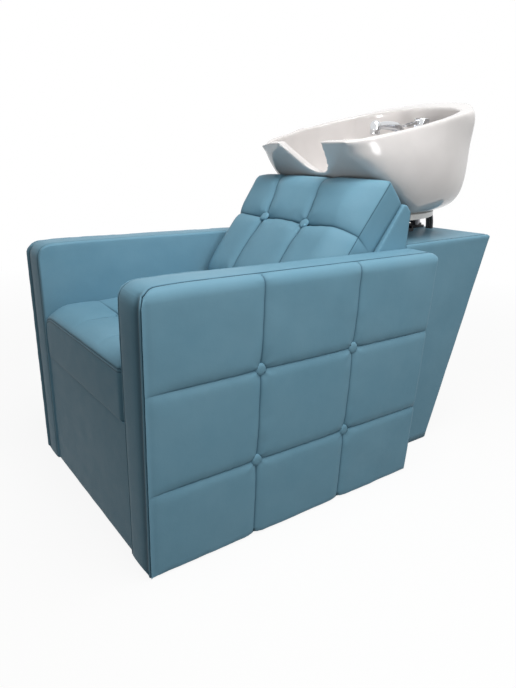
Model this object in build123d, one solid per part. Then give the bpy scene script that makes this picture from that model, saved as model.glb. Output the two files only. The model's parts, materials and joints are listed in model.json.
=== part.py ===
from build123d import *
from math import cos, radians, sin, tan
import os

# Salon backwash unit. X runs across the seat, Y from the front of the arms to the rear, Z up.
# Every place along Y below is counted from the front of the arms. The finished pieces are moved
# forward by half of the depth, so that the origin is on the floor under the middle of the unit.

# General
overrun = 20.0
seat_gap = 0.3
run_gap = 0.05

# Glides
glide_height = 4.0
glide_radius = 15.0
glide_inset = 45.0

# Arms
seat_bay_width = 497.0
arm_thickness = 95.0
arm_length = 820.0
arm_height = 620.0
arm_front_radius = 30.0
arm_rear_radius = 22.0
arm_skin = 6.0
arm_wall = 15.0
arm_edge_radius = 8.0
arm_pad_thickness = 24.0
arm_pad_edge_radius = 9.0
arm_tuft_depth = 11.0
arm_tuft_columns = 3
arm_tuft_row_shares = (0.322, 0.674)
arm_tuft_reach_share = 0.40

# Covered buttons
button_radius = 12.0
button_height = 7.0
button_edge_radius = 3.0
button_sink = 2.0

# Front panel
front_panel_height = 318.0
front_panel_side_gap = 1.5
front_board = 15.0
front_foam = 9.0
front_panel_edge_radius = 5.0

# Base rails and the bolts that tie the arms to them
base_rail_height = 60.0
base_rail_thickness = 25.0
rear_rail_place = 560.0
frame_bolt_radius = 4.0
frame_bolt_head_radius = 8.0
frame_bolt_head_height = 4.0
frame_bolt_length = 40.0

# Seat
deck_thickness = 15.0
batten_height = 28.0
batten_thickness = 22.0
cushion_side_gap = 14.0
seat_thickness = 132.0
seat_front = 4.0
seat_corner_radius = 26.0
seat_top_radius = 20.0
seat_pull_in = 5.0
seat_seam_spread = 77.0
seat_first_row = 150.0
seat_row_pitch = 155.0
seat_rows = 3
seat_tuft_depth = 15.0
seat_tuft_reach_share = 0.42

# Back
back_lean = 36.0
back_rear_place = 703.0
back_rear_drop = 5.0
back_thickness = 120.0
back_side_gap = 8.5
back_pull_in = 4.0
back_seam_spread = 80.0
back_end_lean = 45.0
back_end_place = 721.0
back_end_rise = 159.0
back_seam_depth = 76.6
back_first_row = 148.0
back_row_pitch = 190.0
back_rows = 2
back_tuft_depth = 22.0
back_tuft_reach_share = 0.35
back_board_thickness = 15.0

# Back shell
shell_rear = 810.0
shell_rise = 95.0
shell_ridge = 13.0
shell_shoulder_run = 19.0
shell_shoulder_drop = 14.0
shell_wall = 9.0
shell_side_gap = 1.5
shell_edge_radius = 4.0

# Cabinet
cabinet_front = 812.0
cabinet_height = 627.0
cabinet_top_rear = 1187.0
cabinet_foot_rear = 1036.0
cabinet_board = 18.0
cabinet_wrap = 3.0
cabinet_edge_radius = 8.0
service_board = 15.0
service_gap = 1.0
panel_screw_radius = 2.5
panel_screw_head_radius = 6.0
panel_screw_head_height = 3.0
panel_screw_length = 28.0
panel_screw_inset = 60.0
panel_cleat = 22.0
cabinet_rail_height = 50.0

# Hoses and their openings
hose_radius = 5.5
hose_pair_gap = 2.4
hose_turn_share = 0.45
hose_slot_place_x = 63.0
hose_slot_place_y = 1149.0
hose_slot_length = 42.0
hose_slot_width = 24.0
grommet_wall = 3.0
grommet_lip = 4.0
grommet_lip_height = 3.0

# Water inlets
valve_radius = 9.0
valve_spread = 70.0
valve_place_x = 30.0
valve_drop_height = 165.0
spigot_radius = 10.4
spigot_length = 22.0
inlet_plate_width = 130.0
inlet_plate_height = 50.0
inlet_plate_thickness = 4.0
inlet_height = 150.0

# Basin bracket
bracket_plate = 4.0
bracket_front = 905.0
bracket_half_width = 82.0
bracket_waist_place = 1046.0
bracket_nose_half_width = 35.0
bracket_neck_place = 1100.0
bracket_nose_place = 1166.0
bracket_flange_height = 12.0
bracket_corner_radius = 10.0
bracket_height = 54.0
bracket_bolt_radius = 4.0
bracket_bolt_head_radius = 7.0
bracket_bolt_head_height = 5.0
bracket_bolt_length = 26.0
bracket_bolt_inset = 20.0
pivot_place = 1122.0
pivot_rise = 26.0
pivot_radius = 7.0
pivot_head_radius = 12.0
pivot_head_height = 5.0
knuckle_radius = 19.0
knuckle_half_width = 31.0
knuckle_length = 56.0
cheek = 4.0
cheek_gap = 0.5
bush_wall = 2.0
stop_pad_radius = 10.0
stop_pad_place_x = 64.0
stop_pad_place_y = 975.0
cradle_front = 880.0
cradle_half_width = 90.0
cradle_rear = 1085.0
cradle_bolt_spread = 150.0
cradle_bolt_rows = (900.0, 1040.0)

# Basin, outside
basin_rim_front = 632.0
basin_rim_front_rise = 167.0
basin_rim_middle = 900.0
basin_rim_middle_rise = 228.0
basin_rim_rear_rise = 297.0
basin_rear = 1150.0
basin_front_lean = 50.8
basin_chin = 740.0
basin_chin_radius = 14.0
basin_foot_front = 868.0
basin_belly_half_width = 236.0
basin_front_half_width = 152.0
basin_corner_half_width = 212.0
basin_belly_place = 925.0
basin_corner_place = 1050.0
basin_foot_half_width = 196.0
foot_front_share = 0.8
basin_foot_corner_half_width = 134.0
basin_foot_belly_place = 905.0
basin_foot_corner_place = 1060.0
basin_foot_rear = 1112.0
basin_turn_rise = 33.0
basin_belly_rise = 83.0
basin_bulge_rise = 163.0
basin_turn_inset = 7.0
basin_bulge = 9.0
basin_rim_inset = 0.5
bowl_turn_rise = 87.0
basin_wall = 22.0

# Basin, inside
bowl_floor_rise = 43.0
bowl_floor_front = 860.0
bowl_floor_share = 0.74
neck_half_width = 79.0
neck_floor_half_width = 34.0
neck_floor_rise = 98.0
neck_radius = 62.0
deck_front = 1005.0
tap_deck_rise = 186.0
tap_deck_thickness = 20.0
service_half_width = 92.0
service_front = 1026.0
hose_way_front = 1085.0
hose_way_rise = 91.0

# Basin base and gasket
basin_base_height = 14.0
gasket_height = 4.0
gasket_inset = 7.0
base_inset = 3.0

# Waste
waste_place = 950.0
waste_hole_radius = 26.0
waste_flange_radius = 36.0
waste_flange_height = 3.0
waste_bore_radius = 20.0
waste_tail_radius = 23.0
waste_spigot_radius = 20.0
waste_spigot_bore = 17.5
waste_clear_radius = 44.0
waste_nut_radius = 33.0
waste_nut_height = 9.0
waste_reach = 118.0
strainer_radius = 19.5
strainer_height = 5.0
strainer_knob_radius = 4.5
strainer_knob_height = 8.0
strainer_hole_radius = 1.8
strainer_hole_circle_radius = 12.5
strainer_hole_count = 10

# Mixer
mixer_place_x = 50.0
mixer_place_y = 1055.0
mixer_hole_radius = 17.5
mixer_rosette_radius = 26.0
mixer_rosette_height = 5.0
mixer_radius = 21.0
mixer_body_height = 38.0
mixer_shank_radius = 17.0
mixer_shank_length = 34.0
mixer_nut_radius = 25.0
mixer_nut_height = 7.0
mixer_stem_radius = 9.0
mixer_stem_depth = 14.0
mixer_cap_height = 15.0
mixer_cap_gap = 0.4
mixer_edge_radius = 2.5
lever_slot_half_width = 6.5
lever_pin_radius = 2.5
lever_hub_radius = 5.0
lever_droop = 12.0
lever_pivot_height = 8.0
lever_tongue_half_width = 6.2
lever_loop_width = 26.0
lever_loop_length = 52.0
lever_loop_wall = 6.0
lever_thickness = 6.0
index_radius = 3.5
index_depth = 2.0

# Hand spray
spray_place_x = -20.0
spray_place_y = 1052.0
spray_hole_radius = 15.0
spray_holder_radius = 19.0
spray_holder_top_radius = 15.5
spray_holder_height = 12.0
spray_shank_radius = 14.6
spray_shank_length = 32.0
spray_nut_radius = 22.0
spray_nut_height = 7.0
spray_stem_radius = 11.0
spray_stem_depth = 26.0
spray_neck_radius = 12.0
spray_bend_radius = 26.0
spray_head_place = 941.0
spray_head_radius = 15.5
spray_head_height = 38.0
spray_head_rise = 51.0
spray_head_edge_radius = 8.0
spray_face_radius = 12.5
spray_face_height = 3.0
spray_jet_radius = 1.0
spray_jet_circle_radii = (4.5, 9.5)
spray_jet_counts = (6, 12)

# Places that follow from the sizes above
half_bay = seat_bay_width / 2
half_width = half_bay + arm_thickness
depth = cabinet_top_rear
deck_top = glide_height + front_panel_height
seat_top = deck_top + seat_thickness
rest_height = cabinet_height
bracket_top = rest_height + bracket_height
base_top = bracket_top + basin_base_height
basin_foot = base_top + gasket_height
cabinet_lean = (cabinet_top_rear - cabinet_foot_rear) / (cabinet_height - glide_height)
lean = radians(back_lean)
pivot_height = rest_height + pivot_rise
back_rear_height = rest_height - back_rear_drop
back_end_height = rest_height + back_end_rise
shell_top = rest_height + shell_rise
basin_rim_front_height = basin_foot + basin_rim_front_rise
basin_rim_middle_height = basin_foot + basin_rim_middle_rise
basin_rim_rear_height = basin_foot + basin_rim_rear_rise
basin_turn_height = basin_foot + basin_turn_rise
basin_belly_height = basin_foot + basin_belly_rise
basin_bulge_height = basin_foot + basin_bulge_rise
bowl_turn_height = basin_foot + bowl_turn_rise
bowl_floor = basin_foot + bowl_floor_rise
neck_floor = basin_foot + neck_floor_rise
tap_deck_height = basin_foot + tap_deck_rise
tap_underside = tap_deck_height - tap_deck_thickness
hose_way_height = basin_foot + hose_way_rise
spray_head_top = tap_deck_height + spray_head_rise


def block(x0, x1, y0, y1, z0, z1):
    size = (x1 - x0, y1 - y0, z1 - z0)
    return Pos(x0, y0, z0) * Box(*size, align=(Align.MIN, Align.MIN, Align.MIN))


def side_prism(face, x0, x1):
    # A side view, drawn as (y, z), carried across from x0 to x1
    return extrude(Plane.YZ.offset(x0) * face, x1 - x0)


def polygon(points):
    return make_face(Polyline(*points, close=True))


def rod_z(x, y, z0, z1, radius):
    return Pos(x, y, z0) * Cylinder(radius, z1 - z0, align=(Align.CENTER, Align.CENTER, Align.MIN))


def rod_x(y, z, x0, x1, radius):
    turned = Rot(0, 90, 0) * Cylinder(radius, x1 - x0, align=(Align.CENTER, Align.CENTER, Align.MIN))
    return Pos(x0, y, z) * turned


def mirrored(shape):
    return mirror(shape, about=Plane.YZ)


def tuft_groove(length, reach, fall):
    # A sewn valley along Y between two puffs, cut into a face that lies at height zero
    left = TangentArc((-reach, 0), (0, -fall), tangent=(1, 0))
    right = TangentArc((reach, 0), (0, -fall), tangent=(-1, 0))
    lid = Polyline((-reach, 0), (-reach, overrun), (reach, overrun), (reach, 0))
    profile = make_face([left, right, lid])
    return extrude(Plane.XZ * profile, length / 2, both=True)


def button():
    # A covered button, its seat at height zero
    disc = Cylinder(button_radius, button_height, align=(Align.CENTER, Align.CENTER, Align.MIN))
    return fillet(disc.faces().sort_by(Axis.Z)[-1].edges(), button_edge_radius)


def dimple():
    # The hollow that a button sits in
    radius = button_radius + seat_gap
    return Cylinder(radius, overrun, align=(Align.CENTER, Align.CENTER, Align.MIN))


# Arms

def arm_face(inset):
    # Side view of an arm, drawn in from its outline by the inset
    front = inset
    rear = arm_length - inset
    bottom = glide_height
    top = arm_height - inset
    face = polygon([(front, bottom), (rear, bottom), (rear, top), (front, top)])
    corners = face.vertices().sort_by(Axis.Y)[-2:].sort_by(Axis.X)
    face = fillet(corners[0], arm_front_radius - inset)
    corners = face.vertices().filter_by(lambda v: v.X > rear - seat_gap and v.Y > bottom + seat_gap)
    return fillet(corners[0], arm_rear_radius - inset)


def arm_inside():
    return half_bay + arm_skin


def arm_pad_back():
    return half_width - arm_pad_thickness


def arm_cover():
    whole = side_prism(arm_face(0), half_bay, arm_pad_back())
    inner_face = whole.faces().sort_by(Axis.X)[0]
    rounded = [e for e in inner_face.edges() if e.center().Z > glide_height + seat_gap]
    whole = fillet(rounded, arm_edge_radius / 2)
    hollow = side_prism(arm_face(arm_skin), arm_inside(), arm_pad_back() + overrun)
    low = block(arm_inside(), half_width, arm_skin, arm_length - arm_skin, -overrun, arm_height / 2)
    return whole - hollow - low - frame_bolt_holes()


def arm_carcass():
    gap = arm_skin + seat_gap
    whole = side_prism(arm_face(gap), arm_inside() + seat_gap, arm_pad_back() - seat_gap)
    wall = gap + arm_wall
    hollow = block(
        arm_inside() + arm_wall,
        half_width,
        wall,
        arm_length - wall,
        glide_height + arm_wall,
        arm_height - wall,
    )
    return whole - hollow - frame_bolt_holes()


def frame_bolt_holes():
    radius = frame_bolt_radius + run_gap
    reach = arm_inside() + arm_wall + overrun
    return [rod_x(y, base_rail_middle(), half_bay - overrun, reach, radius) for y in rail_places()]


def arm_tufts():
    # Seam lines between the puffs and the places of the buttons, as (y, z)
    rows = [glide_height + (arm_height - glide_height) * share for share in arm_tuft_row_shares]
    columns = [arm_length * k / arm_tuft_columns for k in range(1, arm_tuft_columns)]
    return columns, rows


def on_arm_side(shape, y, z):
    # From a shape whose face is at height zero to the outer side of the right arm
    return Pos(half_width, y, z) * Rot(0, 90, 0) * shape


def arm_pad():
    whole = side_prism(arm_face(0), arm_pad_back(), half_width)
    whole = fillet(whole.faces().sort_by(Axis.X)[-1].edges(), arm_pad_edge_radius)
    columns, rows = arm_tufts()
    column_reach = arm_length / arm_tuft_columns * arm_tuft_reach_share
    row_reach = arm_height / arm_tuft_columns * arm_tuft_reach_share
    for y in columns:
        seam = Rot(0, 0, 90) * tuft_groove(2 * arm_height, column_reach, arm_tuft_depth)
        whole -= on_arm_side(seam, y, arm_height / 2)
    for z in rows:
        seam = tuft_groove(2 * arm_length, row_reach, arm_tuft_depth)
        whole -= on_arm_side(seam, arm_length / 2, z)
    for y in columns:
        for z in rows:
            floor = arm_tuft_depth + button_sink
            whole -= on_arm_side(Pos(0, 0, -floor) * dimple(), y, z)
    return whole


def arm_buttons():
    columns, rows = arm_tufts()
    floor = arm_tuft_depth + button_sink
    return [on_arm_side(Pos(0, 0, -floor) * button(), y, z) for y in columns for z in rows]


# Base: rails, bolts and glides

def base_rail_middle():
    return glide_height + base_rail_height / 2


def rail_places():
    first = front_foam + front_board + base_rail_thickness / 2 + seat_front + seat_gap
    return first, rear_rail_place


def base_rails():
    return [base_rail(y) for y in rail_places()]


def base_rail(y):
    half = base_rail_thickness / 2
    top = glide_height + base_rail_height
    rail = block(-half_bay + seat_gap, half_bay - seat_gap, y - half, y + half, glide_height, top)
    for side in (-1, 1):
        inner = side * (half_bay - frame_bolt_length)
        ends = sorted((inner, side * half_width))
        rail -= rod_x(y, base_rail_middle(), ends[0], ends[1], frame_bolt_radius + run_gap)
    return rail


def frame_bolts():
    # Each bolt is put in from inside the arm and runs through its skin into the rail
    seat = arm_inside() + arm_wall + seat_gap
    bolts = []
    for y in rail_places():
        shank = rod_x(y, base_rail_middle(), half_bay - frame_bolt_length + seat_gap, seat, frame_bolt_radius)
        head = rod_x(y, base_rail_middle(), seat, seat + frame_bolt_head_height, frame_bolt_head_radius)
        bolt = shank + head
        bolts += [bolt, mirrored(bolt)]
    return bolts


def glides():
    middle = (arm_inside() + arm_pad_back()) / 2
    spots = [(middle, glide_inset), (middle, arm_length / 2), (middle, arm_length - glide_inset)]
    spots.append((half_bay - cabinet_board - glide_radius / 2, cabinet_foot_rear - glide_inset))
    discs = [rod_z(x, y, 0, glide_height, glide_radius) for x, y in spots]
    return discs + [mirrored(disc) for disc in discs]


# Front panel

def front_panel_cover():
    half = half_bay - front_panel_side_gap
    skin = block(-half, half, seat_front, seat_front + front_foam, glide_height, deck_top)
    skin = fillet(skin.faces().sort_by(Axis.Y)[0].edges(), front_panel_edge_radius)
    return skin


def front_panel_board():
    half = half_bay - front_panel_side_gap
    back = seat_front + front_foam
    return block(-half, half, back, back + front_board, glide_height, deck_top - deck_thickness - seat_gap)


# Seat

def seat_deck():
    half = half_bay - seat_gap
    return block(-half, half, seat_front + front_foam, shell_rear, deck_top - deck_thickness, deck_top)


def seat_battens():
    top = deck_top - deck_thickness
    front = seat_front + front_foam + front_board + base_rail_thickness
    inner = half_bay - seat_gap - batten_thickness
    batten = block(inner, half_bay - seat_gap, front, shell_rear, top - batten_height, top)
    return [batten, mirrored(batten)]


def back_rear_y(z):
    # Where the plane behind the back cushion stands at height z
    return back_rear_place + (z - back_rear_height) * tan(lean)


def seat_plan():
    half = half_bay - cushion_side_gap
    rear = back_rear_y(seat_top)
    left_side = ThreePointArc((-half, rear), (-half + seat_pull_in, rear / 2), (-half, seat_front))
    front_side = Line((-half, seat_front), (half, seat_front))
    right_side = ThreePointArc((half, seat_front), (half - seat_pull_in, rear / 2), (half, rear))
    rear_side = Line((half, rear), (-half, rear))
    face = make_face([left_side, front_side, right_side, rear_side])
    return fillet(face.vertices().sort_by(Axis.Y)[:2], seat_corner_radius)


def seat_seams():
    rows = [seat_first_row + seat_row_pitch * k for k in range(seat_rows)]
    return (-seat_seam_spread, seat_seam_spread), rows


def seat_cushion():
    whole = extrude(Pos(0, 0, deck_top) * seat_plan(), seat_top - deck_top)
    upper = [e for e in whole.faces().sort_by(Axis.Z)[-1].edges() if e.center().Y < back_rear_y(deck_top)]
    whole = fillet(upper, seat_top_radius)
    columns, rows = seat_seams()
    reach = seat_row_pitch * seat_tuft_reach_share
    span = 2 * (half_bay + seat_row_pitch)
    for x in columns:
        whole -= Pos(x, depth / 2, seat_top) * tuft_groove(depth, reach, seat_tuft_depth)
    for y in rows:
        whole -= Pos(0, y, seat_top) * Rot(0, 0, 90) * tuft_groove(span, reach, seat_tuft_depth)
    for x in columns:
        for y in rows[:-1]:
            whole -= Pos(x, y, seat_top - seat_tuft_depth - button_sink) * dimple()
    # The rear end leans with the back
    low = deck_top - overrun
    high = seat_top + overrun
    gap = seat_gap / cos(lean)
    behind = [
        (back_rear_y(low) - gap, low),
        (back_rear_y(high) - gap, high),
        (depth, high),
        (depth, low),
    ]
    return whole - side_prism(polygon(behind), -half_bay, half_bay)


def seat_buttons():
    columns, rows = seat_seams()
    seat = seat_top - seat_tuft_depth - button_sink
    return [Pos(x, y, seat) * button() for x in columns for y in rows[:-1]]


# Back

def back_origin():
    # Where the plane behind the cushion meets the end of the cushion
    reach = back_end_place + back_end_height
    z = (reach - back_rear_place + back_rear_height * tan(lean)) / (1 + tan(lean))
    return reach - z, z


def on_back(shape):
    # From a cushion that lies flat, top end at y zero and its rear face at height zero
    y, z = back_origin()
    return Pos(0, y, z) * Rot(90 - back_lean, 0, 0) * shape


def back_length():
    y, z = back_origin()
    return (z - seat_top) / cos(lean) + back_thickness * tan(lean)


def back_seams():
    rows = [-back_first_row - back_row_pitch * k for k in range(back_rows)]
    rows = [row for row in rows if row > -back_length()]
    return (-back_seam_spread, back_seam_spread), rows


def back_end_slope():
    # How much further the sloping end reaches at the front face than at the rear
    return -(back_thickness * tan(radians(back_end_lean - back_lean)))


def back_cushion():
    half = half_bay - back_side_gap
    length = back_length()
    left_side = ThreePointArc((-half, 0), (-half + back_pull_in, -length / 2), (-half, -length))
    bottom_side = Line((-half, -length), (half, -length))
    right_side = ThreePointArc((half, -length), (half - back_pull_in, -length / 2), (half, 0))
    top_side = Line((half, 0), (-half, 0))
    plan = make_face([left_side, bottom_side, right_side, top_side])
    plan = Pos(0, -back_end_slope(), 0) * plan
    whole = extrude(plan, back_thickness)
    end = [
        (0, 0),
        (-back_end_slope(), back_thickness),
        (-back_end_slope(), back_thickness + overrun),
        (4 * overrun, back_thickness + overrun),
        (4 * overrun, -overrun),
        (0, -overrun),
    ]
    whole -= side_prism(polygon(end), -half_bay, half_bay)
    top = whole.faces().sort_by(Axis.Z)[-1]
    whole = fillet([e for e in top.edges() if e.center().Y > -length], back_thickness - back_seam_depth)
    columns, rows = back_seams()
    reach = back_row_pitch * back_tuft_reach_share
    for x in columns:
        whole -= Pos(x, -length / 2, back_thickness) * tuft_groove(2 * length, reach, back_tuft_depth)
    for y in rows:
        seam = Rot(0, 0, 90) * tuft_groove(2 * seat_bay_width, reach, back_tuft_depth)
        whole -= Pos(0, y, back_thickness) * seam
    for x in columns:
        for y in rows:
            floor = back_thickness - back_tuft_depth - button_sink
            whole -= Pos(x, y, floor) * dimple()
    whole = on_back(Pos(0, 0, seat_gap) * whole)
    return whole - block(-half_bay, half_bay, 0, depth, 0, seat_top + seat_gap)


def back_buttons():
    columns, rows = back_seams()
    floor = back_thickness - back_tuft_depth - button_sink + seat_gap
    return [on_back(Pos(x, y, floor) * button()) for x in columns for y in rows]


def shell_points(inset):
    # Side view of the housing behind the cushion
    front = inset / cos(lean)
    bottom = deck_top
    top = shell_top - inset
    rear = shell_rear - inset
    ridge = back_rear_y(shell_top) + shell_ridge
    return [
        (back_rear_y(bottom) + front, bottom),
        (back_rear_y(top) + front, top),
        (ridge - inset / 2, top),
        (ridge + shell_shoulder_run - inset, shell_top - shell_shoulder_drop - inset),
        (rear, rest_height),
        (rear, bottom),
    ]


def back_shell():
    half = half_bay - shell_side_gap
    whole = side_prism(polygon(shell_points(0)), -half, half)
    ends = whole.faces().filter_by(Axis.X).edges()
    upper = [e for e in ends if e.center().Z > rest_height + overrun]
    whole = fillet(upper, shell_edge_radius)
    inner = side_prism(polygon(shell_points(shell_wall)), -half + shell_wall, half - shell_wall)
    low = block(
        -half + shell_wall,
        half - shell_wall,
        back_rear_y(deck_top) + shell_wall / cos(lean),
        shell_rear - shell_wall,
        0,
        deck_top + seat_gap,
    )
    return whole - inner - low


def back_board():
    # Ply board just inside the front of the shell
    half = half_bay - shell_side_gap - shell_wall - seat_gap
    near = (shell_wall + seat_gap) / cos(lean)
    far = near + back_board_thickness / cos(lean)
    bottom = deck_top + seat_gap
    top = shell_top - 2 * shell_wall - back_board_thickness
    outline = [
        (back_rear_y(bottom) + near, bottom),
        (back_rear_y(top) + near, top),
        (back_rear_y(top) + far, top),
        (back_rear_y(bottom) + far, bottom),
    ]
    return side_prism(polygon(outline), -half, half)


# Cabinet

def cabinet_rear_y(z):
    return cabinet_foot_rear + (z - glide_height) * cabinet_lean


def cabinet_outline(inset, top_inset):
    top = cabinet_height - top_inset
    low = glide_height
    return [
        (cabinet_front + inset, low),
        (cabinet_rear_y(low), low),
        (cabinet_rear_y(top), top),
        (cabinet_front + inset, top),
    ]


def cabinet_side():
    outer = half_bay - cabinet_wrap - seat_gap
    top = cabinet_wrap + cabinet_board + seat_gap
    side = side_prism(polygon(cabinet_outline(0, top)), outer - cabinet_board, outer)
    return side


def hose_slot(grow):
    length = hose_slot_length + 2 * grow
    width = hose_slot_width + 2 * grow
    slot = SlotOverall(length, width)
    slot = extrude(slot, 2 * overrun, both=True)
    return Pos(hose_slot_place_x, hose_slot_place_y, cabinet_height) * slot


def waste_way():
    return rod_z(0, waste_place, cabinet_height - 2 * overrun, cabinet_height + overrun, waste_clear_radius)


def cabinet_top_board():
    half = half_bay - cabinet_wrap - seat_gap
    top = cabinet_height - cabinet_wrap - seat_gap
    low = top - cabinet_board
    outline = [
        (cabinet_front, low),
        (cabinet_rear_y(low), low),
        (cabinet_rear_y(top), top),
        (cabinet_front, top),
    ]
    board = side_prism(polygon(outline), -half, half)
    board -= hose_slot(0)
    board -= waste_way()
    for x, y in bracket_bolt_places():
        board -= rod_z(x, y, low - overrun, top + overrun, bracket_bolt_radius + run_gap)
    return board


def cabinet_wrap_skin():
    outer = side_prism(polygon(cabinet_outline(0, 0)), -half_bay, half_bay)
    upper = [e for e in outer.edges().filter_by(Axis.Y) if e.center().Z > rest_height - seat_gap]
    outer = fillet(upper, cabinet_edge_radius)
    half = half_bay - cabinet_wrap
    inner = [
        (cabinet_front - overrun, -overrun),
        (cabinet_top_rear + overrun, -overrun),
        (cabinet_top_rear + overrun, cabinet_height - cabinet_wrap),
        (cabinet_front - overrun, cabinet_height - cabinet_wrap),
    ]
    skin = outer - side_prism(polygon(inner), -half, half)
    skin -= hose_slot(0)
    skin -= waste_way()
    for x, y in bracket_bolt_places():
        skin -= rod_z(x, y, rest_height - overrun, rest_height + overrun, bracket_bolt_radius + run_gap)
    return skin


def cabinet_inside():
    return half_bay - cabinet_wrap - cabinet_board - 2 * seat_gap


def cabinet_bulkhead():
    half = cabinet_inside()
    top = cabinet_height - cabinet_wrap - cabinet_board - 2 * seat_gap
    return block(-half, half, cabinet_front, cabinet_front + cabinet_board, glide_height, top)


def panel_slab(z0, z1, near, far, half):
    # A board parallel to the leaning rear of the cabinet, near and far counted in from it
    outline = [
        (cabinet_rear_y(z0) - far, z0),
        (cabinet_rear_y(z0) - near, z0),
        (cabinet_rear_y(z1) - near, z1),
        (cabinet_rear_y(z1) - far, z1),
    ]
    return side_prism(polygon(outline), -half, half)


def service_top():
    return cabinet_height - cabinet_wrap - cabinet_board - service_gap - seat_gap


def panel_screw_places():
    across = cabinet_inside() - panel_cleat / 2
    low = glide_height + cabinet_rail_height + panel_screw_inset
    high = service_top() - panel_screw_inset
    return [(x, z) for x in (-across, across) for z in (low, high)]


def inlet_places():
    return [(valve_place_x + side * valve_spread / 2, inlet_height) for side in (-1, 1)]


def service_panel():
    panel = panel_slab(
        glide_height + cabinet_rail_height + service_gap,
        service_top(),
        service_gap,
        service_gap + service_board,
        cabinet_inside() - service_gap,
    )
    for x, z in panel_screw_places():
        panel -= screw_path(x, z, panel_screw_radius + seat_gap)
    for x, z in inlet_places():
        panel -= inlet_path(x, z, spigot_radius + service_gap)
    return panel


def screw_path(x, z, radius):
    y = cabinet_rear_y(z)
    bar = Rot(90, 0, 0) * Cylinder(radius, 2 * panel_screw_length)
    return Pos(x, y, z) * bar


def inlet_path(x, z, radius):
    y = cabinet_rear_y(z)
    bar = Rot(90, 0, 0) * Cylinder(radius, 4 * service_board)
    return Pos(x, y, z) * bar


def panel_cleats():
    # Battens inside the sides that the service panel is screwed to
    far = service_gap + service_board + seat_gap
    low = glide_height + cabinet_rail_height + service_gap
    slab = panel_slab(low, service_top(), far, far + panel_cleat, cabinet_inside())
    window = block(
        -cabinet_inside() + panel_cleat,
        cabinet_inside() - panel_cleat,
        cabinet_front,
        depth,
        0,
        cabinet_height,
    )
    cleats = slab - window
    for x, z in panel_screw_places():
        cleats -= screw_path(x, z, panel_screw_radius + run_gap)
    return list(cleats.solids())


def panel_screws():
    screws = []
    for x, z in panel_screw_places():
        y = cabinet_rear_y(z) - service_gap + seat_gap + panel_screw_head_radius * cabinet_lean
        shank = Cylinder(panel_screw_radius, panel_screw_length, align=(Align.CENTER, Align.CENTER, Align.MIN))
        head = Cylinder(
            panel_screw_head_radius,
            panel_screw_head_height,
            align=(Align.CENTER, Align.CENTER, Align.MAX),
        )
        screw = Rot(90, 0, 0) * (shank + head)
        screws.append(Pos(x, y, z) * screw)
    return screws


def cabinet_rail():
    half = cabinet_inside()
    low = glide_height
    top = glide_height + cabinet_rail_height
    return panel_slab(low, top, service_gap, service_gap + cabinet_board, half)


# Water inlets and hoses

def inlet_seat_y():
    # The inside face of the service panel at the height of the inlets
    return cabinet_rear_y(inlet_height - inlet_plate_height / 2) - service_gap - service_board


def inlet_plate():
    half = inlet_plate_width / 2
    low = inlet_height - inlet_plate_height / 2
    high = inlet_height + inlet_plate_height / 2
    far = service_gap + service_board + seat_gap
    outline = [
        (cabinet_rear_y(low) - far - inlet_plate_thickness, low),
        (cabinet_rear_y(low) - far, low),
        (cabinet_rear_y(high) - far, high),
        (cabinet_rear_y(high) - far - inlet_plate_thickness, high),
    ]
    plate = side_prism(polygon(outline), valve_place_x - half, valve_place_x + half)
    for x, z in inlet_places():
        plate -= inlet_path(x, z, valve_radius + run_gap)
    return plate


def stop_valve_middle():
    reach = service_gap + service_board + inlet_plate_thickness + valve_radius
    return cabinet_rear_y(inlet_height) - reach - valve_radius


def spigot_start():
    # Just behind the service panel, which comes off over the spigots
    return cabinet_rear_y(inlet_height + spigot_radius + service_gap)


def rod_y(x, z, y0, y1, radius):
    rod = Rot(-90, 0, 0) * Cylinder(radius, y1 - y0, align=(Align.CENTER, Align.CENTER, Align.MIN))
    return Pos(x, y0, z) * rod


def stop_valves():
    # Elbow valves: the hose comes in from above, the threaded spigot leaves to the rear
    valves = []
    y = stop_valve_middle()
    for x, z in inlet_places():
        neck = rod_y(x, z, y, spigot_start(), valve_radius)
        spigot = rod_y(x, z, spigot_start(), spigot_start() + spigot_length, spigot_radius)
        body = Pos(x, y, z) * Sphere(spigot_radius + valve_radius / 4)
        tail = rod_z(x, y, z, valve_drop_height + valve_radius, valve_radius)
        valves.append(neck + spigot + body + tail)
    return valves


def hose_route(side):
    # From the mixer down past the bracket, through the grommet and to its valve
    x = mixer_place_x
    y = mixer_place_y
    top = tap_deck_height - mixer_shank_length - seat_gap
    half = side * (hose_radius + hose_pair_gap / 2)
    drop_x = hose_slot_place_x + half
    end_x = valve_place_x + side * valve_spread / 2
    end_y = stop_valve_middle()
    end_z = valve_drop_height + valve_radius
    return [
        (x + half, y, top),
        (x + half, y, top - 40),
        (x + half + 2, y + 20, top - 84),
        (drop_x - 2, y + 47, top - 124),
        (drop_x, y + 76, top - 161),
        (drop_x, y + 93, top - 201),
        (drop_x, y + 94, top - 255),
        (drop_x - 1, y + 80, top - 315),
        (drop_x - 4, y + 56, top - 374),
        (drop_x + side * 3, y + 26, top - 436),
        (drop_x + side * 9, y - 5, top - 498),
        (end_x - side * 6, end_y + 12, end_z + 108),
        (end_x, end_y, end_z + 54),
        (end_x, end_y, end_z),
    ]


def hose(side):
    points = [Vector(*p) for p in hose_route(side)]
    radii = []
    for before, at, after in zip(points, points[1:], points[2:]):
        turn = radians((at - before).get_angle(after - at))
        shorter = min((at - before).length, (after - at).length)
        radii.append(hose_turn_share * shorter / tan(turn / 2))
    path = FilletPolyline(*points, radius=radii)
    start = Plane(origin=points[0], z_dir=points[1] - points[0])
    tube = sweep(start * Circle(hose_radius), path=path)
    share = tube.volume / (path.length * Circle(hose_radius).area)
    print("hose", side, "length", round(path.length), "least radius", round(min(radii)), "volume share", share)
    return tube


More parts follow.
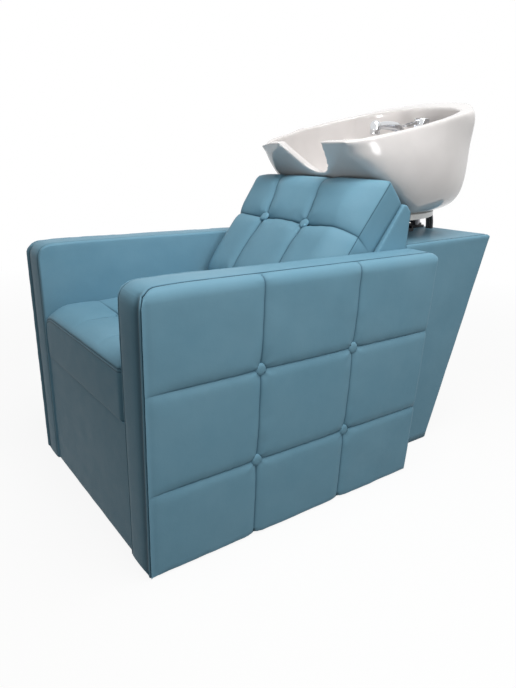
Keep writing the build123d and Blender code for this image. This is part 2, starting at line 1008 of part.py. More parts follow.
def hose_grommet():
    body = hose_slot(-run_gap)
    body = body & block(0, half_bay, cabinet_front, depth, cabinet_height - overrun, cabinet_height + overrun)
    low = cabinet_height - cabinet_wrap - cabinet_board
    ring = body & block(0, half_bay, cabinet_front, depth, low, cabinet_height)
    lip = hose_slot(grommet_lip)
    lip = lip & block(
        0,
        half_bay,
        cabinet_front,
        depth,
        cabinet_height + seat_gap,
        cabinet_height + seat_gap + grommet_lip_height,
    )
    neck = body & block(0, half_bay, cabinet_front, depth, low, cabinet_height + grommet_lip_height)
    return ring + neck + lip - hose_slot(-grommet_wall)


# Bracket under the basin

def bracket_bolt_places():
    inset = bracket_bolt_inset
    across = bracket_half_width - inset
    rows = (bracket_front + inset, bracket_waist_place - inset)
    return [(x, y) for x in (-across, across) for y in rows]


def bracket_plan(inset):
    wide = bracket_half_width - inset
    nose = bracket_nose_half_width - inset
    points = [
        (-wide, bracket_front + inset),
        (wide, bracket_front + inset),
        (wide, bracket_waist_place),
        (nose, bracket_neck_place),
        (nose, bracket_nose_place - inset),
        (-nose, bracket_nose_place - inset),
        (-nose, bracket_neck_place),
        (-wide, bracket_waist_place),
    ]
    return fillet(polygon(points).vertices(), bracket_corner_radius - inset)


def bracket_base():
    low = rest_height
    plate = extrude(Pos(0, 0, low) * bracket_plan(0), bracket_plate)
    flange = extrude(Pos(0, 0, low) * bracket_plan(0), bracket_flange_height)
    flange -= extrude(Pos(0, 0, low - overrun) * bracket_plan(bracket_plate), 4 * overrun)
    body = plate + flange
    inner = knuckle_half_width - cheek
    half = knuckle_length / 2
    upright = block(inner, knuckle_half_width, pivot_place - half, pivot_place + half, low, pivot_height)
    crown = rod_x(pivot_place, pivot_height, inner, knuckle_half_width, knuckle_radius)
    taper = block(inner, knuckle_half_width, pivot_place - half, pivot_place + half, low, low + knuckle_radius)
    upright = upright & side_prism(knuckle_face(), inner, knuckle_half_width)
    wall = taper + upright + crown
    body = body + wall + mirrored(wall)
    body -= rod_x(pivot_place, pivot_height, -half_bay, half_bay, pivot_radius + run_gap)
    body -= waste_clear()
    for x, y in bracket_bolt_places():
        body -= rod_z(x, y, low - overrun, low + overrun, bracket_bolt_radius + run_gap)
    return body


def knuckle_face():
    half = knuckle_length / 2
    return polygon([
        (pivot_place - half, rest_height),
        (pivot_place + half, rest_height),
        (pivot_place + knuckle_radius, pivot_height),
        (pivot_place - knuckle_radius, pivot_height),
    ])


def waste_clear():
    return rod_z(0, waste_place, rest_height - overrun, bracket_top + overrun, waste_clear_radius)


def bracket_bolts():
    bolts = []
    for x, y in bracket_bolt_places():
        seat = rest_height + bracket_plate
        shank = rod_z(x, y, seat - bracket_bolt_length, seat, bracket_bolt_radius)
        head = rod_z(x, y, seat, seat + bracket_bolt_head_height, bracket_bolt_head_radius)
        bolts.append(shank + head)
    return bolts


def cradle_underside():
    return bracket_top - bracket_plate


def stop_pads():
    low = rest_height + bracket_plate
    pad = rod_z(stop_pad_place_x, stop_pad_place_y, low, cradle_underside() - seat_gap, stop_pad_radius)
    return [pad, mirrored(pad)]


def pivot_pin():
    reach = knuckle_half_width + seat_gap
    pin = rod_x(pivot_place, pivot_height, -reach, reach, pivot_radius)
    head = rod_x(pivot_place, pivot_height, reach, reach + pivot_head_height, pivot_head_radius)
    return pin + head + mirrored(head)


def cradle_cheek_outer():
    return knuckle_half_width - cheek - cheek_gap


def pivot_bushes():
    # Flanged bushes that the cradle turns on, pressed over the pin
    outer = cradle_cheek_outer()
    inner = outer - cheek
    ring = rod_x(pivot_place, pivot_height, inner, outer, pivot_radius + bush_wall)
    ring -= rod_x(pivot_place, pivot_height, 0, half_bay, pivot_radius + run_gap)
    return [ring, mirrored(ring)]


def tilt_cradle():
    top = bracket_top - seat_gap
    low = cradle_underside()
    plate = block(-cradle_half_width, cradle_half_width, cradle_front, cradle_rear, low, top)
    plate = fillet(plate.edges().filter_by(Axis.Z), bracket_corner_radius)
    tongue_rear = pivot_place + knuckle_radius / 2
    half = cradle_cheek_outer()
    tongue = block(-half, half, cradle_rear - 2 * overrun, tongue_rear, low, top)
    outer = cradle_cheek_outer()
    inner = outer - cheek
    ear_radius = pivot_radius + bush_wall + cheek
    arm = side_prism(
        polygon([
            (cradle_rear - 2 * overrun, low + bracket_plate / 2),
            (tongue_rear, low + bracket_plate / 2),
            (pivot_place + ear_radius, pivot_height),
            (pivot_place - ear_radius, pivot_height),
        ]),
        inner,
        outer,
    )
    ear = arm + rod_x(pivot_place, pivot_height, inner, outer, ear_radius)
    body = plate + tongue + ear + mirrored(ear)
    body -= rod_x(pivot_place, pivot_height, -half_bay, half_bay, pivot_radius + bush_wall + run_gap)
    body -= waste_clear()
    for x, y in cradle_bolt_places():
        body -= rod_z(x, y, low - overrun, top + overrun, bracket_bolt_radius + run_gap)
    return body


def cradle_bolt_places():
    return [(side * cradle_bolt_spread / 2, y) for side in (-1, 1) for y in cradle_bolt_rows]


def cradle_bolts():
    bolts = []
    for x, y in cradle_bolt_places():
        seat = cradle_underside() - run_gap
        shank = rod_z(x, y, seat, base_top - seat_gap, bracket_bolt_radius)
        head = rod_z(x, y, seat - bracket_bolt_head_height, seat, bracket_bolt_head_radius)
        bolts.append(shank + head)
    return bolts


# Basin

def basin_plan(front, front_half, belly_y, belly_half, corner_y, corner_half, rear):
    # Half-round shell outline: straight front, two swelling sides and an arched rear
    right = ThreePointArc((front_half, front), (belly_half, belly_y), (corner_half, corner_y))
    back = ThreePointArc((corner_half, corner_y), (0, rear), (-corner_half, corner_y))
    left = ThreePointArc((-corner_half, corner_y), (-belly_half, belly_y), (-front_half, front))
    lip = Line((-front_half, front), (front_half, front))
    return make_face([right, back, left, lip])


def upper_plan(inset, bulge):
    return basin_plan(
        basin_rim_front - overrun,
        basin_front_half_width - inset,
        basin_belly_place,
        basin_belly_half_width - inset + bulge,
        basin_corner_place - inset / 2,
        basin_corner_half_width - inset + bulge,
        basin_rear - inset / 2,
    )


def foot_plan(inset):
    return basin_plan(
        basin_rim_front - overrun,
        basin_foot_half_width * foot_front_share - inset,
        basin_foot_belly_place,
        basin_foot_half_width - inset,
        basin_foot_corner_place,
        basin_foot_corner_half_width - inset,
        basin_foot_rear - inset,
    )


def rim_line(drop):
    # The top of the basin seen from the side, rising to the rear
    front = basin_rim_front - overrun
    rear = basin_rear + overrun
    front_z = basin_rim_front_height - drop
    rear_z = basin_rim_rear_height - drop
    arc = ThreePointArc((front, front_z), (basin_rim_middle, basin_rim_middle_height - drop), (rear, rear_z))
    lid = Polyline((rear, rear_z), (rear, rear_z + 8 * overrun), (front, rear_z + 8 * overrun), (front, front_z))
    return make_face([arc, lid])


def front_y(z):
    # The leaning front face of the basin
    return basin_rim_front + (basin_rim_front_height - z) * tan(radians(basin_front_lean))


def chin_height():
    return basin_rim_front_height - (basin_chin - basin_rim_front) / tan(radians(basin_front_lean))


def basin_side_outline():
    high = basin_rim_rear_height + 2 * overrun
    points = [
        (front_y(high), high),
        (basin_chin, chin_height()),
        (basin_foot_front, basin_foot),
        (basin_rear + overrun, basin_foot),
        (basin_rear + overrun, high),
    ]
    face = polygon(points)
    chin = face.vertices().sort_by_distance(Vector(basin_chin, chin_height(), 0))[0]
    return fillet(chin, basin_chin_radius)


def basin_outside():
    body = loft([
        Pos(0, 0, basin_foot) * foot_plan(0),
        Pos(0, 0, basin_turn_height) * upper_plan(basin_turn_inset, 0),
        Pos(0, 0, basin_belly_height) * upper_plan(0, basin_bulge),
        Pos(0, 0, basin_bulge_height) * upper_plan(0, basin_bulge),
        Pos(0, 0, basin_rim_rear_height + overrun) * upper_plan(basin_rim_inset, 0),
    ])
    body = body & side_prism(basin_side_outline(), -half_width, half_width)
    return body - side_prism(rim_line(0), -half_width, half_width)


def bowl_hollow():
    # The room inside the basin, down to its floor and to the tap deck at the rear
    inset = basin_wall
    floor_plan = basin_plan(
        basin_rim_front - overrun,
        (basin_front_half_width - inset) * bowl_floor_share,
        basin_belly_place,
        (basin_belly_half_width - inset) * bowl_floor_share,
        basin_corner_place - inset,
        (basin_corner_half_width - inset) * bowl_floor_share,
        deck_front + inset,
    )
    high_z = basin_rim_rear_height + 2 * overrun
    room = loft([
        Pos(0, 0, bowl_floor) * floor_plan,
        Pos(0, 0, bowl_turn_height) * upper_plan(inset, 0),
        Pos(0, 0, basin_bulge_height) * upper_plan(inset, basin_bulge),
        Pos(0, 0, high_z) * upper_plan(inset + basin_rim_inset, 0),
    ])
    back = inset / cos(radians(basin_front_lean))
    side = [
        (front_y(high_z) + back, high_z),
        (basin_chin + back, chin_height()),
        (bowl_floor_front, bowl_floor),
        (deck_front, bowl_floor),
        (deck_front, tap_deck_height),
        (basin_rear + overrun, tap_deck_height),
        (basin_rear + overrun, high_z),
    ]
    return room & side_prism(polygon(side), -half_bay, half_bay)


def neck_notch():
    high = basin_rim_rear_height + overrun
    profile = [
        (-neck_half_width, high),
        (-neck_half_width, basin_rim_front_height),
        (-neck_floor_half_width, neck_floor),
        (neck_floor_half_width, neck_floor),
        (neck_half_width, basin_rim_front_height),
        (neck_half_width, high),
    ]
    face = polygon(profile)
    face = fillet(face.vertices().sort_by(Axis.Y)[:2], neck_radius)
    start = basin_rim_front - 2 * overrun
    cut = extrude(Plane.XZ * face, -(basin_chin + 2 * basin_wall - start))
    return Pos(0, start, 0) * cut


def service_hollow():
    # The space under the tap deck, open below, where the tails of the taps hang
    half = service_half_width
    rear = basin_foot_rear - basin_wall / 2
    room = block(-half, half, service_front, rear, basin_foot - overrun, tap_underside)
    room = fillet(room.edges().filter_by(Axis.Z), basin_chin_radius)
    reach = hose_slot_length / 2
    way = block(
        hose_slot_place_x - reach,
        hose_slot_place_x + reach,
        hose_way_front,
        basin_rear - basin_wall / 2,
        basin_foot - overrun,
        hose_way_height,
    )
    return room + way


def basin():
    body = basin_outside() - bowl_hollow() - neck_notch() - service_hollow()
    body -= rod_z(0, waste_place, basin_foot - overrun, bowl_floor + overrun, waste_hole_radius)
    body -= rod_z(mixer_place_x, mixer_place_y, tap_underside - overrun, tap_deck_height + overrun, mixer_hole_radius)
    body -= rod_z(spray_place_x, spray_place_y, tap_underside - overrun, tap_deck_height + overrun, spray_hole_radius)
    return body


def service_window():
    half = service_half_width
    rear = basin_rear
    return block(-half, half, service_front, rear, bracket_top - overrun, basin_foot + overrun)


def base_slab(inset, z0, z1):
    slab = extrude(Pos(0, 0, z0) * foot_plan(inset), z1 - z0)
    slab &= block(-half_bay, half_bay, basin_foot_front + inset, depth, z0, z1)
    slab -= service_window()
    slab -= rod_z(0, waste_place, z0 - overrun, z1 + overrun, waste_clear_radius)
    return slab


def basin_base():
    slab = base_slab(base_inset, bracket_top, base_top)
    for x, y in cradle_bolt_places():
        slab -= rod_z(x, y, bracket_top - overrun, base_top - seat_gap, bracket_bolt_radius + run_gap)
    return slab


def basin_gasket():
    return base_slab(gasket_inset, base_top, basin_foot)


# Waste

def waste_seat():
    return bowl_floor


def waste_flange():
    top = waste_seat() + waste_flange_height
    ring = rod_z(0, waste_place, waste_seat(), top, waste_flange_radius)
    tube = rod_z(0, waste_place, basin_foot - waste_nut_height, top, waste_tail_radius)
    return ring + tube - rod_z(0, waste_place, 0, depth, waste_bore_radius)


def waste_nut():
    low = basin_foot - waste_nut_height
    ring = rod_z(0, waste_place, low, basin_foot, waste_nut_radius)
    return ring - rod_z(0, waste_place, 0, depth, waste_tail_radius + run_gap)


def waste_tail():
    # Plain spigot that a waste pipe is pushed over, inside the cabinet
    seat = basin_foot - waste_nut_height
    low = seat - waste_reach
    collar = rod_z(0, waste_place, seat - waste_nut_height, seat, waste_nut_radius - run_gap)
    tube = rod_z(0, waste_place, low, seat, waste_spigot_radius)
    return collar + tube - rod_z(0, waste_place, 0, depth, waste_spigot_bore)


def hair_strainer():
    top = waste_seat() + waste_flange_height
    disc = rod_z(0, waste_place, top - strainer_height, top, strainer_radius)
    for k in range(strainer_hole_count):
        turn = radians(360 * k / strainer_hole_count)
        x = strainer_hole_circle_radius * cos(turn)
        y = waste_place + strainer_hole_circle_radius * sin(turn)
        disc -= rod_z(x, y, 0, depth, strainer_hole_radius)
    knob = rod_z(0, waste_place, top, top + strainer_knob_height, strainer_knob_radius)
    return disc + knob


# Mixer tap

def mixer_base():
    return tap_deck_height + mixer_rosette_height


def mixer_top():
    return mixer_base() + mixer_body_height


def at_mixer(shape):
    return Pos(mixer_place_x, mixer_place_y, 0) * shape


def mixer_rosette():
    ring = rod_z(0, 0, tap_deck_height, mixer_base(), mixer_rosette_radius)
    ring = fillet(ring.faces().sort_by(Axis.Z)[-1].edges(), mixer_edge_radius)
    return at_mixer(ring - rod_z(0, 0, 0, depth, mixer_shank_radius + run_gap))


def mixer_body():
    low = tap_deck_height - mixer_shank_length
    shank = rod_z(0, 0, low, mixer_base(), mixer_shank_radius)
    barrel = rod_z(0, 0, mixer_base(), mixer_top(), mixer_radius)
    barrel -= rod_z(0, 0, mixer_top() - mixer_stem_depth, depth, mixer_stem_radius + run_gap)
    place = mixer_base() + mixer_body_height / 2
    socket = Pos(0, -mixer_radius, place) * Rot(90, 0, 0) * Cylinder(index_radius, 2 * index_depth)
    return at_mixer(shank + barrel - socket)


def mixer_index():
    place = mixer_base() + mixer_body_height / 2
    plug = Pos(0, -mixer_radius, place) * Rot(90, 0, 0) * Cylinder(index_radius - run_gap, 2 * index_depth)
    return at_mixer(plug & rod_z(0, 0, 0, depth, mixer_radius))


def mixer_nut():
    low = tap_underside - mixer_nut_height
    ring = rod_z(0, 0, low, tap_underside, mixer_nut_radius)
    return at_mixer(ring - rod_z(0, 0, 0, depth, mixer_shank_radius + run_gap))


def mixer_cap():
    low = mixer_top() + mixer_cap_gap
    top = low + mixer_cap_height
    cap = rod_z(0, 0, low, top, mixer_radius)
    cap = fillet(cap.faces().sort_by(Axis.Z)[-1].edges(), mixer_edge_radius)
    stem = rod_z(0, 0, mixer_top() - mixer_stem_depth + mixer_cap_gap, low, mixer_stem_radius)
    slot = block(
        -lever_slot_half_width,
        lever_slot_half_width,
        -2 * mixer_radius,
        mixer_radius / 2,
        low + lever_pivot_height - lever_hub_radius - mixer_cap_gap,
        depth,
    )
    slot += block(
        -lever_slot_half_width,
        lever_slot_half_width,
        -2 * mixer_radius,
        -lever_hub_radius,
        low - mixer_cap_gap,
        depth,
    )
    pin_hole = rod_x(0, lever_pivot(), -half_bay, half_bay, lever_pin_radius)
    return at_mixer(cap + stem - slot - pin_hole)


def lever_pivot():
    return mixer_top() + mixer_cap_gap + lever_pivot_height


def lever_pin():
    reach = (mixer_radius ** 2 - lever_pin_radius ** 2) ** 0.5 - seat_gap
    return at_mixer(rod_x(0, lever_pivot(), -reach, reach, lever_pin_radius))


def mixer_lever():
    # A tongue in the slot of the cap and a loop in front of it for the fingers
    z = lever_pivot()
    half = lever_thickness / 2
    hub = rod_x(0, z, -lever_tongue_half_width, lever_tongue_half_width, lever_hub_radius)
    tongue = block(
        -lever_tongue_half_width,
        lever_tongue_half_width,
        -mixer_radius - lever_loop_wall,
        0,
        z - half,
        z + half,
    )
    middle = -mixer_radius - lever_loop_length / 2 - lever_loop_wall / 2
    ring = SlotOverall(lever_loop_length, lever_loop_width)
    ring -= SlotOverall(lever_loop_length - 2 * lever_loop_wall, lever_loop_width - 2 * lever_loop_wall)
    loop = extrude(Rot(0, 0, 90) * ring, half, both=True)
    loop = Pos(0, middle, z) * loop
    lever = Pos(0, 0, z) * Rot(lever_droop, 0, 0) * Pos(0, 0, -z) * (tongue + loop)
    lever = lever + hub - rod_x(0, z, -half_bay, half_bay, lever_pin_radius + run_gap)
    return at_mixer(lever)


# Hand spray

def at_spray(shape):
    return Pos(spray_place_x, spray_place_y, 0) * shape


def holder_top():
    return tap_deck_height + spray_holder_height


def spray_holder():
    boss = Pos(0, 0, tap_deck_height) * Cone(
        spray_holder_radius,
        spray_holder_top_radius,
        spray_holder_height,
        align=(Align.CENTER, Align.CENTER, Align.MIN),
    )
    low = tap_deck_height - spray_shank_length
    shank = rod_z(0, 0, low, tap_deck_height, spray_shank_radius)
    return at_spray(boss + shank - rod_z(0, 0, 0, depth, spray_stem_radius + run_gap))


def spray_holder_nut():
    low = tap_underside - spray_nut_height
    ring = rod_z(0, 0, low, tap_underside, spray_nut_radius)
    return at_spray(ring - rod_z(0, 0, 0, depth, spray_shank_radius + run_gap))


def hand_spray():
    # Stem in the holder, a thick neck arching forward and the head at its end
    seat = holder_top() + seat_gap
    stem = rod_z(0, 0, seat - spray_stem_depth, seat, spray_stem_radius)
    reach = spray_place_y - spray_head_place
    rise = spray_bend_radius
    crest = seat + rise
    bend = ThreePointArc(
        (0, 0, seat),
        (0, -rise * (1 - cos(radians(45))), seat + rise * sin(radians(45))),
        (0, -rise, crest),
    )
    run = TangentArc((0, -rise, crest), (0, -reach, crest - spray_face_height), tangent=(0, -1, 0))
    neck = sweep(Plane.XY.offset(seat) * Circle(spray_neck_radius), path=bend)
    front = Plane(origin=(0, -rise, crest), z_dir=(0, -1, 0))
    neck = neck + sweep(front * Circle(spray_neck_radius), path=run)
    low = spray_head_top - spray_head_height
    head = rod_z(0, -reach, low, spray_head_top, spray_head_radius)
    head = fillet(head.faces().sort_by(Axis.Z)[-1].edges(), spray_head_edge_radius)
    body = stem + neck + head
    return at_spray(body - rod_z(0, -reach, low - overrun, low + spray_face_height, spray_face_radius + run_gap))


def spray_face():
    low = spray_head_top - spray_head_height
    y = spray_head_place - spray_place_y
    face = rod_z(0, y, low, low + spray_face_height, spray_face_radius)
    for radius, count in zip(spray_jet_circle_radii, spray_jet_counts):
        for k in range(count):
            turn = radians(360 * k / count)
            jet = rod_z(radius * cos(turn), y + radius * sin(turn), 0, depth, spray_jet_radius)
            face -= jet
    return at_spray(face)


def save(name, shape):
    # Moves a piece, or a group of separate solids, to the part's origin and writes it
    pieces = shape if isinstance(shape, list) else [shape]
    moved = [Pos(0, -depth / 2, 0) * piece for piece in pieces]
    solids = [solid for piece in moved for solid in piece.solids()]
    whole = solids[0] if len(solids) == 1 else Compound(children=solids)
    export_step(whole, f"parts/{name}.step")


def main():
    os.makedirs("parts", exist_ok=True)
    for name, make in (
        ("arm_carcass", arm_carcass),
        ("arm_cover", arm_cover),
        ("arm_pad", arm_pad),
        ("arm_buttons", arm_buttons),
    ):
        right = make()
        save(name + "_right", right)
        pieces = right if isinstance(right, list) else [right]
        save(name + "_left", [mirrored(piece) for piece in pieces])
    side = cabinet_side()
    save("cabinet_side_right", side)
    save("cabinet_side_left", mirrored(side))
    save("supply_hose_cold", hose(1))
    save("supply_hose_hot", hose(-1))
    save("cabinet_wrap", cabinet_wrap_skin())
    for make in (
        base_rails,
        frame_bolts,
        glides,
        front_panel_cover,
        front_panel_board,
        seat_deck,
        seat_battens,
        seat_cushion,
        seat_buttons,
        back_cushion,
        back_buttons,
        back_shell,
        back_board,
        cabinet_top_board,
        cabinet_bulkhead,
        service_panel,
        panel_cleats,
        panel_screws,
        cabinet_rail,
        inlet_plate,
        stop_valves,
        hose_grommet,
        bracket_base,
        bracket_bolts,
        stop_pads,
        pivot_pin,
        pivot_bushes,
        tilt_cradle,
        cradle_bolts,
        basin_base,
        basin_gasket,
        basin,
        waste_flange,
        waste_nut,
        waste_tail,
        hair_strainer,
        mixer_rosette,
        mixer_body,
        mixer_index,
        mixer_nut,
        mixer_cap,
        lever_pin,
        mixer_lever,
        spray_holder,
        spray_holder_nut,
        hand_spray,
        spray_face,
    ):
        save(make.__name__, make())


main()
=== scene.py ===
import json
import math
import random

import bpy
import numpy as np
from mathutils import Matrix, Vector


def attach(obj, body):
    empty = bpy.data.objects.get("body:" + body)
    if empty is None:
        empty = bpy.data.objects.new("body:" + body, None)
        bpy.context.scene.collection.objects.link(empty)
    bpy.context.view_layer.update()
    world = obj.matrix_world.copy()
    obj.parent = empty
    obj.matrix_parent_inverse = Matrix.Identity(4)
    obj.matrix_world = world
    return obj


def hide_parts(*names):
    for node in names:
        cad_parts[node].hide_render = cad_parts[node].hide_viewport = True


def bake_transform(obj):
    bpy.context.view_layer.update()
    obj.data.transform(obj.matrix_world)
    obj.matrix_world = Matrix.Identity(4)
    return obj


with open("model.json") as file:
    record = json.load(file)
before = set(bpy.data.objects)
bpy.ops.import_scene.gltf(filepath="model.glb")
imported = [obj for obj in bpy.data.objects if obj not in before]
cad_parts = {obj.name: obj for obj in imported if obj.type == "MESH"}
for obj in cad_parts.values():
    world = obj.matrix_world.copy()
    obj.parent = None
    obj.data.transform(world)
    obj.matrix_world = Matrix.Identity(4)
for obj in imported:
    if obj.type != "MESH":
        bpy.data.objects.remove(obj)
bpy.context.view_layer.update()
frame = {"nodes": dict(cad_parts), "record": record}
nodes = frame["nodes"]

# The camera stands at the front right corner, a little above the backrest
view = {
    "position": (1.161, -0.9865, 0.829),
    "heading": 55.61,
    "tilt": 21.84,
    "roll": 1.08,
    "lens": 28.4,
    "sensor": 36,
    "shift": (0.054, 0.045),
    "near": 0.05,
}
studio = {
    "ambient": 0.25,
    "floorHex": "F4F4F2",
    "bounceHex": "50504E",
    "floorGlow": 0.9,
    "floorFade": (1.2, 3.2),  # metres from the middle
    "floorReach": 14,
}
lamps = {
    "softbox_above": {"place": (0.75, -0.1, 2.5), "target": (0, 0.1, 0.4), "size": 1.7, "power": 43.0},
    "softbox_side": {"place": (2.5, -0.45, 1.25), "target": (0, 0.1, 0.4), "size": 1.0, "power": 16.0},
    # a low front fill that reaches under the basin's rim
    "fill_low": {"place": (0.3, -1.75, 0.5), "target": (0.03, 0.1, 0.96), "size": 0.3, "power": 0.14,
                 "spread": math.radians(18)},
}
white = (1, 1, 1, 1)


def linearColor(hexText):
    values = [int(hexText[i:i + 2], 16) / 255 for i in (0, 2, 4)]
    return tuple(v / 12.92 if v <= 0.04045 else ((v + 0.055) / 1.055) ** 2.4 for v in values) + (1.0,)


def feed(tree, node, links):
    # A link comes from a socket, or from a node's first one
    for key, source in links.items():
        tree.links.new(getattr(source, "outputs", [source])[0], node.inputs[key])


def addNode(tree, kind, settings=None, links=None):
    node = tree.nodes.new("ShaderNode" + kind)
    for key, value in (settings or {}).items():
        if isinstance(key, int) or key in node.inputs:
            node.inputs[key].default_value = value
        else:
            setattr(node, key, value)
    feed(tree, node, links or {})
    return node


def addObject(name, data):
    added = bpy.data.objects.new(name, data)
    bpy.context.scene.collection.objects.link(added)
    return added


# Camera, light and floor
def placeCamera():
    heading, tilt, roll = (math.radians(view[key]) for key in ("heading", "tilt", "roll"))
    back = Vector((math.sin(heading) * math.cos(tilt), -math.cos(heading) * math.cos(tilt), math.sin(tilt)))
    level = (-back).cross(Vector((0, 0, 1))).normalized()
    above = level.cross(-back)
    right = math.cos(roll) * level + math.sin(roll) * above
    up = -math.sin(roll) * level + math.cos(roll) * above
    data = bpy.data.cameras.new("view")
    data.lens, data.sensor_width, data.sensor_fit = view["lens"], view["sensor"], "AUTO"
    data.shift_x, data.shift_y = view["shift"]
    data.clip_start = view["near"]
    camera = addObject("view", data)
    turned = Matrix((right, up, back)).transposed().to_4x4()
    camera.matrix_world = Matrix.Translation(view["position"]) @ turned
    bpy.context.scene.camera = camera


def addLamp(name, place, target, size, power, spread=math.pi):
    data = bpy.data.lights.new(name, "AREA")
    data.shape, data.size, data.energy, data.spread = "DISK", size, power, spread
    lamp = addObject(name, data)
    lamp.location = place
    lamp.rotation_euler = (Vector(target) - Vector(place)).to_track_quat("-Z", "Y").to_euler()


def seenShare(tree):
    # 1 on the rays that reach the lens, straight, mirrored or through glass, and 0 on the others
    rays = addNode(tree, "LightPath")
    seen = rays.outputs["Is Camera Ray"]
    for kind in ("Is Glossy Ray", "Is Transmission Ray"):
        seen = addNode(tree, "Math", {"operation": "MAXIMUM"}, {0: seen, 1: rays.outputs[kind]})
    return seen


def lightScene():
    scene = bpy.context.scene
    scene.view_settings.view_transform = "Standard"
    scene.world = bpy.data.worlds.new("studio")
    scene.world.use_nodes = True
    tree = scene.world.node_tree
    tree.nodes.clear()
    room = addNode(tree, "Background", {"Color": white, "Strength": studio["ambient"]})
    plain = addNode(tree, "Background", {"Color": white, "Strength": 1.0})
    mix = addNode(tree, "MixShader", {}, {0: seenShare(tree), 1: room, 2: plain})
    addNode(tree, "OutputWorld", {}, {"Surface": mix})
    for name, lamp in lamps.items():
        addLamp(name, **lamp)


def paleFloor():
    # Painted studio floor: white to the camera, and it still takes the shadow
    material = bpy.data.materials.new("paintedStudioFloor")
    material.use_nodes = True
    tree = material.node_tree
    tree.nodes.clear()
    seen = seenShare(tree)
    glow = addNode(tree, "Emission", {"Color": white, "Strength": 1.0})
    tint = addNode(tree, "Mix", {"data_type": "RGBA", 6: linearColor(studio["bounceHex"]),
                                 7: linearColor(studio["floorHex"])}, {0: seen})
    paint = addNode(tree, "BsdfDiffuse", {}, {"Color": tint.outputs[2]})
    # the shadow fades out with the distance, as on a lit sweep
    place = addNode(tree, "TexCoord").outputs["Object"]
    away = addNode(tree, "VectorMath", {"operation": "LENGTH"}, {0: place})
    start, end = studio["floorFade"]
    fade = addNode(tree, "MapRange", {1: start, 2: end, 3: studio["floorGlow"], 4: 1.0},
                   {0: away.outputs["Value"]})
    share = addNode(tree, "Math", {"operation": "MULTIPLY"}, {0: seen, 1: fade})
    mix = addNode(tree, "MixShader", {}, {0: share, 1: paint, 2: glow})
    addNode(tree, "OutputMaterial", {}, {"Surface": mix})
    mesh = bpy.data.meshes.new("floor")
    reach = studio["floorReach"]
    corners = ((-1, -1), (1, -1), (1, 1), (-1, 1))
    mesh.from_pydata([(x * reach, y * reach, 0) for x, y in corners], [], [(0, 1, 2, 3)])
    floor = addObject("floor", mesh)
    mesh.materials.append(material)


placeCamera()
lightScene()
paleFloor()
print("camera, light and floor set")


# Materials
def startMaterial(name, settings, places="Object"):
    material = bpy.data.materials.new(name)
    material.use_nodes = True
    tree = material.node_tree
    shader = tree.nodes["Principled BSDF"]
    for key, value in settings.items():
        shader.inputs[key].default_value = value
    return material, tree, shader, addNode(tree, "TexCoord").outputs[places]


def patterned(tree, shader, tone, height, hexes, stops, bump):
    # The pattern tints the base between two tones and raises the surface (strength, depth in mm)
    ramp = addNode(tree, "ValToRGB", {}, {0: tone})
    for element, stop, hexText in zip(ramp.color_ramp.elements, stops, hexes):
        element.position, element.color = stop, linearColor(hexText)
    raised = addNode(tree, "Bump", {"Strength": bump[0], "Distance": bump[1] / 1000}, {"Height": height})
    feed(tree, shader, {"Base Color": ramp, "Normal": raised})
    return ramp, raised


# pull and grain are strength and depth in mm
vinyl = {
    # seamShadeHex: colour of the painted shade that is multiplied in at seams, button rims and sewn walls
    "hexes": ("6E99AD", "769FB2"), "stops": (0.45, 0.95), "seamShadeHex": "5C707A",
    "cloudMm": 160, "toneMm": 34, "toneShare": 0.35, "pullMm": 26, "pull": (0.12, 4),
    "grainMm": 2.4,  # the real pebbles are about 1 mm; drawn coarser so that they show
    "grain": (0.16, 0.4), "roughness": (0.36, 0.52), "specular": 0.06,
}


def embossedVinyl(name):
    # Leatherette: PVC skin embossed with a pebble grain; satin, a little uneven; painted shade darkens it in
    # the seams, at the button rims and down the sewn walls
    material, tree, shader, place = startMaterial(name, {"IOR": 1.5, "Specular IOR Level": vinyl["specular"]})
    cloud, fine, pull = (
        addNode(tree, "TexNoise", {"Scale": 1000 / vinyl[size], "Detail": detail}, {"Vector": place})
        for size, detail in (("cloudMm", 3.0), ("toneMm", 4.0), ("pullMm", 3.0)))
    tone = addNode(tree, "Math", {"operation": "MULTIPLY_ADD", 1: vinyl["toneShare"]}, {0: fine, 2: cloud})
    ramp, hand = patterned(tree, shader, tone, pull, vinyl["hexes"], vinyl["stops"], vinyl["pull"])
    # painted shade: the seamShade attribute mixes the seam shade colour into the base colour
    seam = addNode(tree, "Attribute", {"attribute_name": "seamShade"}).outputs["Fac"]
    seamShadedTone = addNode(tree, "Mix", {"data_type": "RGBA", "blend_type": "MULTIPLY",
                                   7: linearColor(vinyl["seamShadeHex"])}, {0: seam, 6: ramp})
    pebbles = addNode(tree, "TexVoronoi", {"feature": "SMOOTH_F1", "Scale": 1000 / vinyl["grainMm"]},
                      {"Vector": place})
    strength, depth = vinyl["grain"]
    grain = addNode(tree, "Bump", {"Strength": strength, "Distance": depth / 1000}, {"Height": pebbles})
    feed(tree, hand, {"Normal": grain})
    low, high = vinyl["roughness"]
    gloss = addNode(tree, "MapRange", {3: low, 4: high}, {0: pull})
    feed(tree, shader, {"Base Color": seamShadedTone.outputs[2], "Roughness": gloss})
    return material


def glazedCeramic():
    # Vitreous china: white body under a thick clear glaze that mirrors the room
    cloudMm, flowMm = 90, 45
    material, tree, shader, place = startMaterial("glazedCeramic", {
        "Roughness": 0.16, "IOR": 1.52, "Coat Weight": 0.6, "Coat Roughness": 0.04})
    cloud, flow = (addNode(tree, "TexNoise", {"Scale": 1000 / size, "Detail": detail}, {"Vector": place})
                   for size, detail in ((cloudMm, 2.0), (flowMm, 1.0)))
    patterned(tree, shader, cloud, flow, ("D6D2D0", "DDD9D7"), (0.35, 0.7), (0.05, 2))
    return material


def speckled(name, hexes, grainMm, roughness, bump):
    # One tone broken up by a fine noise, as moulded, coated, cast or spun surfaces are
    material, tree, shader, place = startMaterial(name, {"Roughness": roughness})
    speck = addNode(tree, "TexNoise", {"Scale": 1000 / grainMm, "Detail": 5.0}, {"Vector": place})
    patterned(tree, shader, speck, speck, hexes, (0.35, 0.68), bump)
    return material


